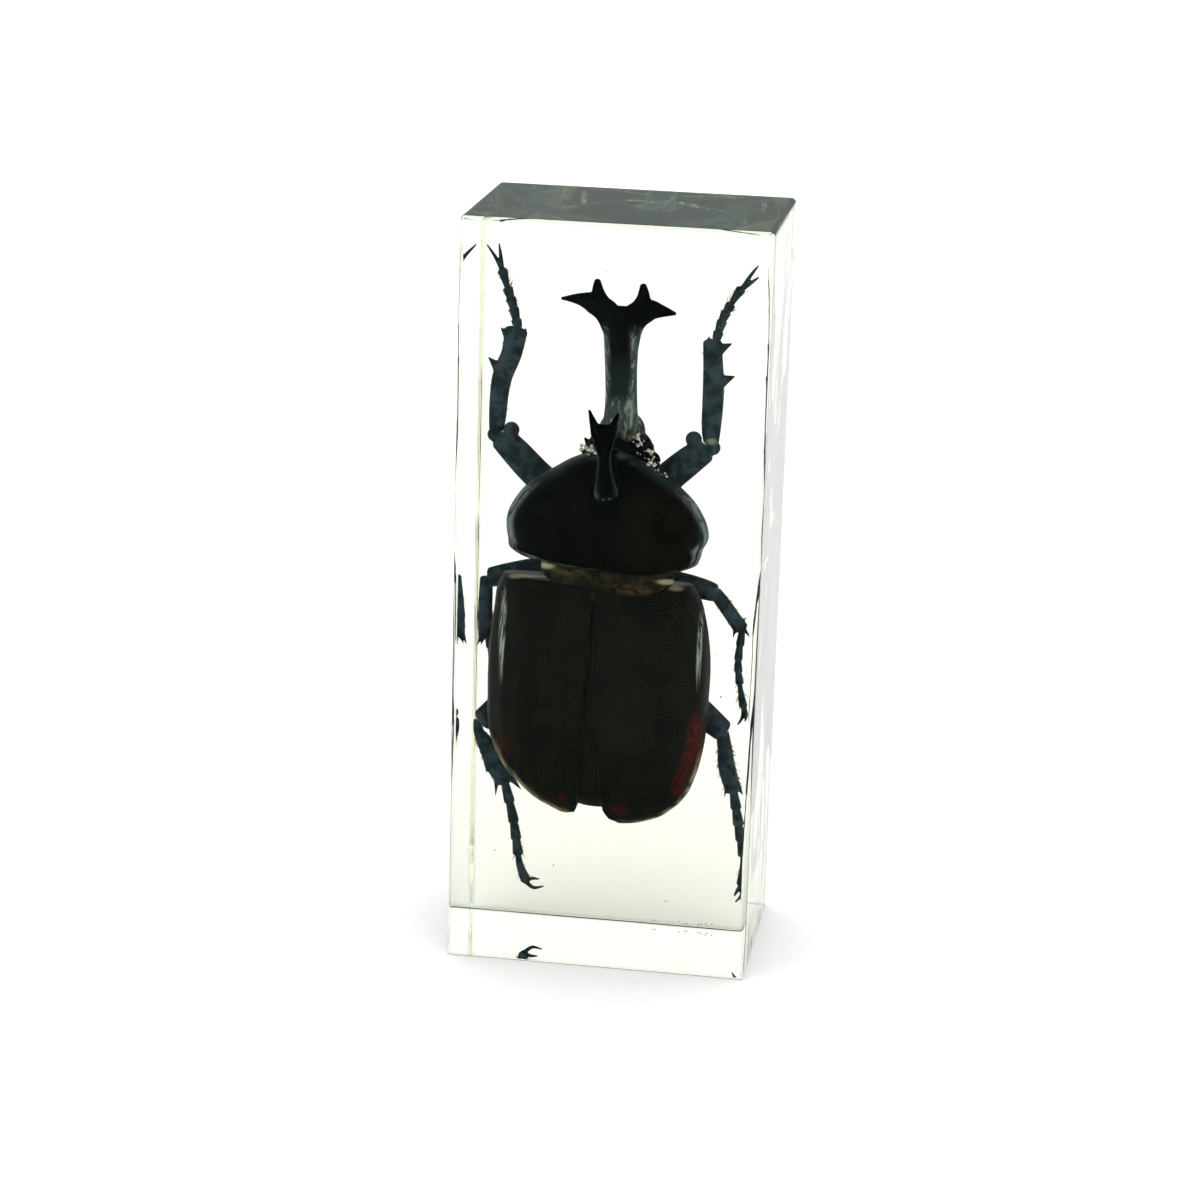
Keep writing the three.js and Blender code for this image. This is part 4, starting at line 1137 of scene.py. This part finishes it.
def edge_lines(half):
    """Grid lines along one side of the block: even over its flat, and at even angles of the
    rounding up to 45 degrees near each end."""
    flat = half - EDGE_RADIUS
    turn = flat + EDGE_RADIUS * np.tan(np.linspace(0, np.pi / 4, 13))
    return np.concatenate([-turn[::-1], np.linspace(-flat, flat, int(flat) + 2)[1:-1], turn])


def polished_block():
    """A rounded box: each point of a plain box is moved to its nearest point on the inner box, and
    then out again by the edge radius at its height. A slow wave sinks the flats by a few
    hundredths."""
    corners, faces = [], []
    for axis in range(3):
        u, v = [i for i in range(3) if i != axis]
        a, b = np.meshgrid(edge_lines(BLOCK_HALF[u]), edge_lines(BLOCK_HALF[v]), indexing="ij")
        for side in (-1, 1):
            plain = np.empty(a.shape + (3,))
            plain[..., axis], plain[..., u], plain[..., v] = side * BLOCK_HALF[axis], a, b
            high = np.clip((plain[..., 2:] + BLOCK_HALF[2]) / TAPER, 0, 1)
            radius = FOOT_RADIUS + (EDGE_RADIUS - FOOT_RADIUS) * high ** 2 * (3 - 2 * high)
            inner = np.clip(plain, radius - BLOCK_HALF, BLOCK_HALF - radius)
            rounded = inner + radius * unit(plain - inner)
            window = (np.cos(a / BLOCK_HALF[u] * np.pi / 2) * np.cos(b / BLOCK_HALF[v] * np.pi / 2)) ** 0.5
            wave = 0.5 + 0.5 * np.sin(a * 0.31 + axis + side) * np.sin(b * 0.17 + 2 * axis - side)
            rounded[..., axis] -= side * POLISH_WAVE * np.nan_to_num(window) * wave
            number = np.arange(a.size).reshape(a.shape) + sum(len(c) for c in corners)
            quad = np.stack([number[:-1, :-1], number[1:, :-1], number[1:, 1:], number[:-1, 1:]], -1)
            flip = (side > 0) == (axis == 1)
            corners.append(rounded.reshape(-1, 3))
            faces.append(quad.reshape(-1, 4)[:, ::-1] if flip else quad.reshape(-1, 4))
    corners = np.vstack(corners) + [0, 0, BLOCK_HALF[2]]
    _, first, same = np.unique(corners.round(5), axis=0, return_index=True, return_inverse=True)
    return mesh_of("block", corners[first], same.reshape(-1)[np.vstack(faces)])

# %% [markdown]
# ## Clear resin
# The resin is a dense clear glass to the light: it bends, mirrors and slightly tints it. A mix of
# transparent and glossy shaders would be quicker, but without bending there would be no second
# beetle in the side face. The tint is in the volume, so a long way through is greener.

# %% Clear resin
RESIN_IOR = 1.54
ABSORBED = {"Color": [0.90, 0.93, 0.78, 1.0], "Density": 20.0}  # per metre: a faint yellow green
CLEAR, DULLED = "#f2f3f1", "#ccd3d0"
GLARE = "#404540"  # the room mirrored in a face seen straight on, as dim as a hood on the lens makes it
EDGE_BAND = (0.7, 0.2)  # the scuffed band along an edge starts and is full at these depths in mm


def scuffed(tree, at):
    """The resin's tint: clear on the faces, and greyer along the edges, where handling has dulled
    the polish. A point is on an edge when it is close under two faces at once."""
    middle = add(tree, "VectorMath", {1: [0, 0, BLOCK_HALF[2] * MM]}, {0: at}, operation="SUBTRACT")
    away = add(tree, "VectorMath", None, {0: middle.outputs[0]}, operation="ABSOLUTE")
    under = [between(tree, depth, *(half - EDGE_BAND))
             for depth, half in zip(xyz(tree, away.outputs[0]), BLOCK_HALF)]
    edge = times(tree, under[0], under[1])
    for i, j in ((0, 2), (1, 2)):
        edge = sum_of(tree, "MAXIMUM", edge, times(tree, under[i], under[j]))
    return blend(tree, edge, CLEAR, DULLED)


def clear_resin():
    """Polished cast polyester: fully clear, with a faint yellow green that deepens with the way
    light has come through it, and a surface that is smooth but for the wheel's fine traces."""
    material, tree, at = new_material("clear_cast_polyester")
    bump = add(tree, "Bump", {"Strength": 0.25, "Distance": 0.02 * MM}, {"Height": noise(tree, at, 9.0)})
    rough = ramp(tree, noise(tree, at, 0.8, 5.0), 0.55, 0.8, 0.0, 0.03, "LINEAR")
    return dress(material, tree,
                 {"Specular Tint": linear(GLARE), "IOR": RESIN_IOR, "Transmission Weight": 1.0},
                 {"Base Color": scuffed(tree, at), "Roughness": rough, "Normal": bump.outputs[0]},
                 add(tree, "VolumeAbsorption", ABSORBED))


piece("resin_block", polished_block(), clear_resin(), ["resin_front", "resin_back"], crease=80)

# %% [markdown]
# ## Floor
# The block stands on a white paper sweep, as clear things do for a picture, because the paper
# shines through the resin from behind and from below. A curved sweep would hide the horizon, but
# one large flat sheet serves, because the world is as bright where the sheet ends.

# %% Floor
FLOOR_HALF = 3.0
FLOOR_DROP = 0.00005
FLOOR_CORNERS = ((-1, -1), (1, -1), (1, 1), (-1, 1))
floor_mesh = mesh_of("floor", [(x * FLOOR_HALF, y * FLOOR_HALF, -FLOOR_DROP) for x, y in FLOOR_CORNERS],
                     [(0, 1, 2, 3)])
floor = new_object("floor", floor_mesh)
paper, tree, at = new_material("white_paper_sweep")
matt = add(tree, "BsdfDiffuse", None, {"Color": blend(tree, noise(tree, at, 2.0, 3.0), "#f4f4f3", "#fafaf9")})
add(tree, "OutputMaterial", None, {"Surface": matt.outputs[0]})
floor_mesh.materials.append(paper)
print("floor", 2 * FLOOR_HALF, "metres wide")

# %% [markdown]
# ## Light
# The light is the world itself: a bright wall all round and a dimmer ceiling, because light from a
# small lamp would hardly find its way through the resin. The camera and its dark hood stand in a
# darker, slightly green part of the room, and that is what polished faces mirror. It is kept apart
# from the wall here by a lower strength for mirror images, because a modelled dark room would also
# dim the light that comes through the block. Clear resin bends light as well as mirroring it, and
# both count as glossy, so a mirror image is light that is glossy and not transmitted.

# %% Mirror images
def mirrored(tree):
    """1 for light last thrown back by a polished face, 0 for light that came through it."""
    path = add(tree, "LightPath").outputs
    thrown_back = sum_of(tree, "SUBTRACT", 1.0, path["Is Transmission Ray"])
    return times(tree, path["Is Glossy Ray"], thrown_back)

# %% [markdown]
# ## World
# Four strengths make the room: the wall, the ceiling, what falls on dull surfaces, and what
# polished faces mirror. An image of a studio would do the same with less to adjust.

# %% World
WALL_LIGHT = 1.36
OVERHEAD_LIGHT = 0.32
FLOOR_LIGHT = 1.5  # what falls on dull surfaces
MIRROR_LIGHT = 0.38
MIRROR_TINT = [0.87, 1, 0.91, 1]
world = bpy.data.worlds.new("studio")
world.use_nodes = True
scene.world = world
tree = world.node_tree
tree.nodes.clear()
height = xyz(tree, add(tree, "TexCoord").outputs["Generated"])[2]
fade = ramp(tree, height, 0.32, 0.7, WALL_LIGHT, OVERHEAD_LIGHT)
seen = add(tree, "Mix", {"B": MIRROR_LIGHT}, {"Factor": mirrored(tree), "A": fade}, data_type="FLOAT")
dull = add(tree, "LightPath").outputs["Is Diffuse Ray"]
strength = add(tree, "Mix", {"B": FLOOR_LIGHT}, {"Factor": dull, "A": seen.outputs[0]}, data_type="FLOAT")
hue = add(tree, "MixRGB", {"Color1": [1, 1, 1, 1], "Color2": MIRROR_TINT}, {"Fac": mirrored(tree)})
sky = add(tree, "Background", None, {"Color": hue.outputs[0], "Strength": strength.outputs[0]})
add(tree, "OutputWorld", None, {"Surface": sky.outputs[0]})

scene.view_settings.view_transform = "Standard"
scene.cycles.max_bounces = 32
scene.cycles.transmission_bounces = 32
scene.cycles.glossy_bounces = 24
scene.cycles.diffuse_bounces = 4
scene.cycles.caustics_refractive = True
scene.cycles.caustics_reflective = True
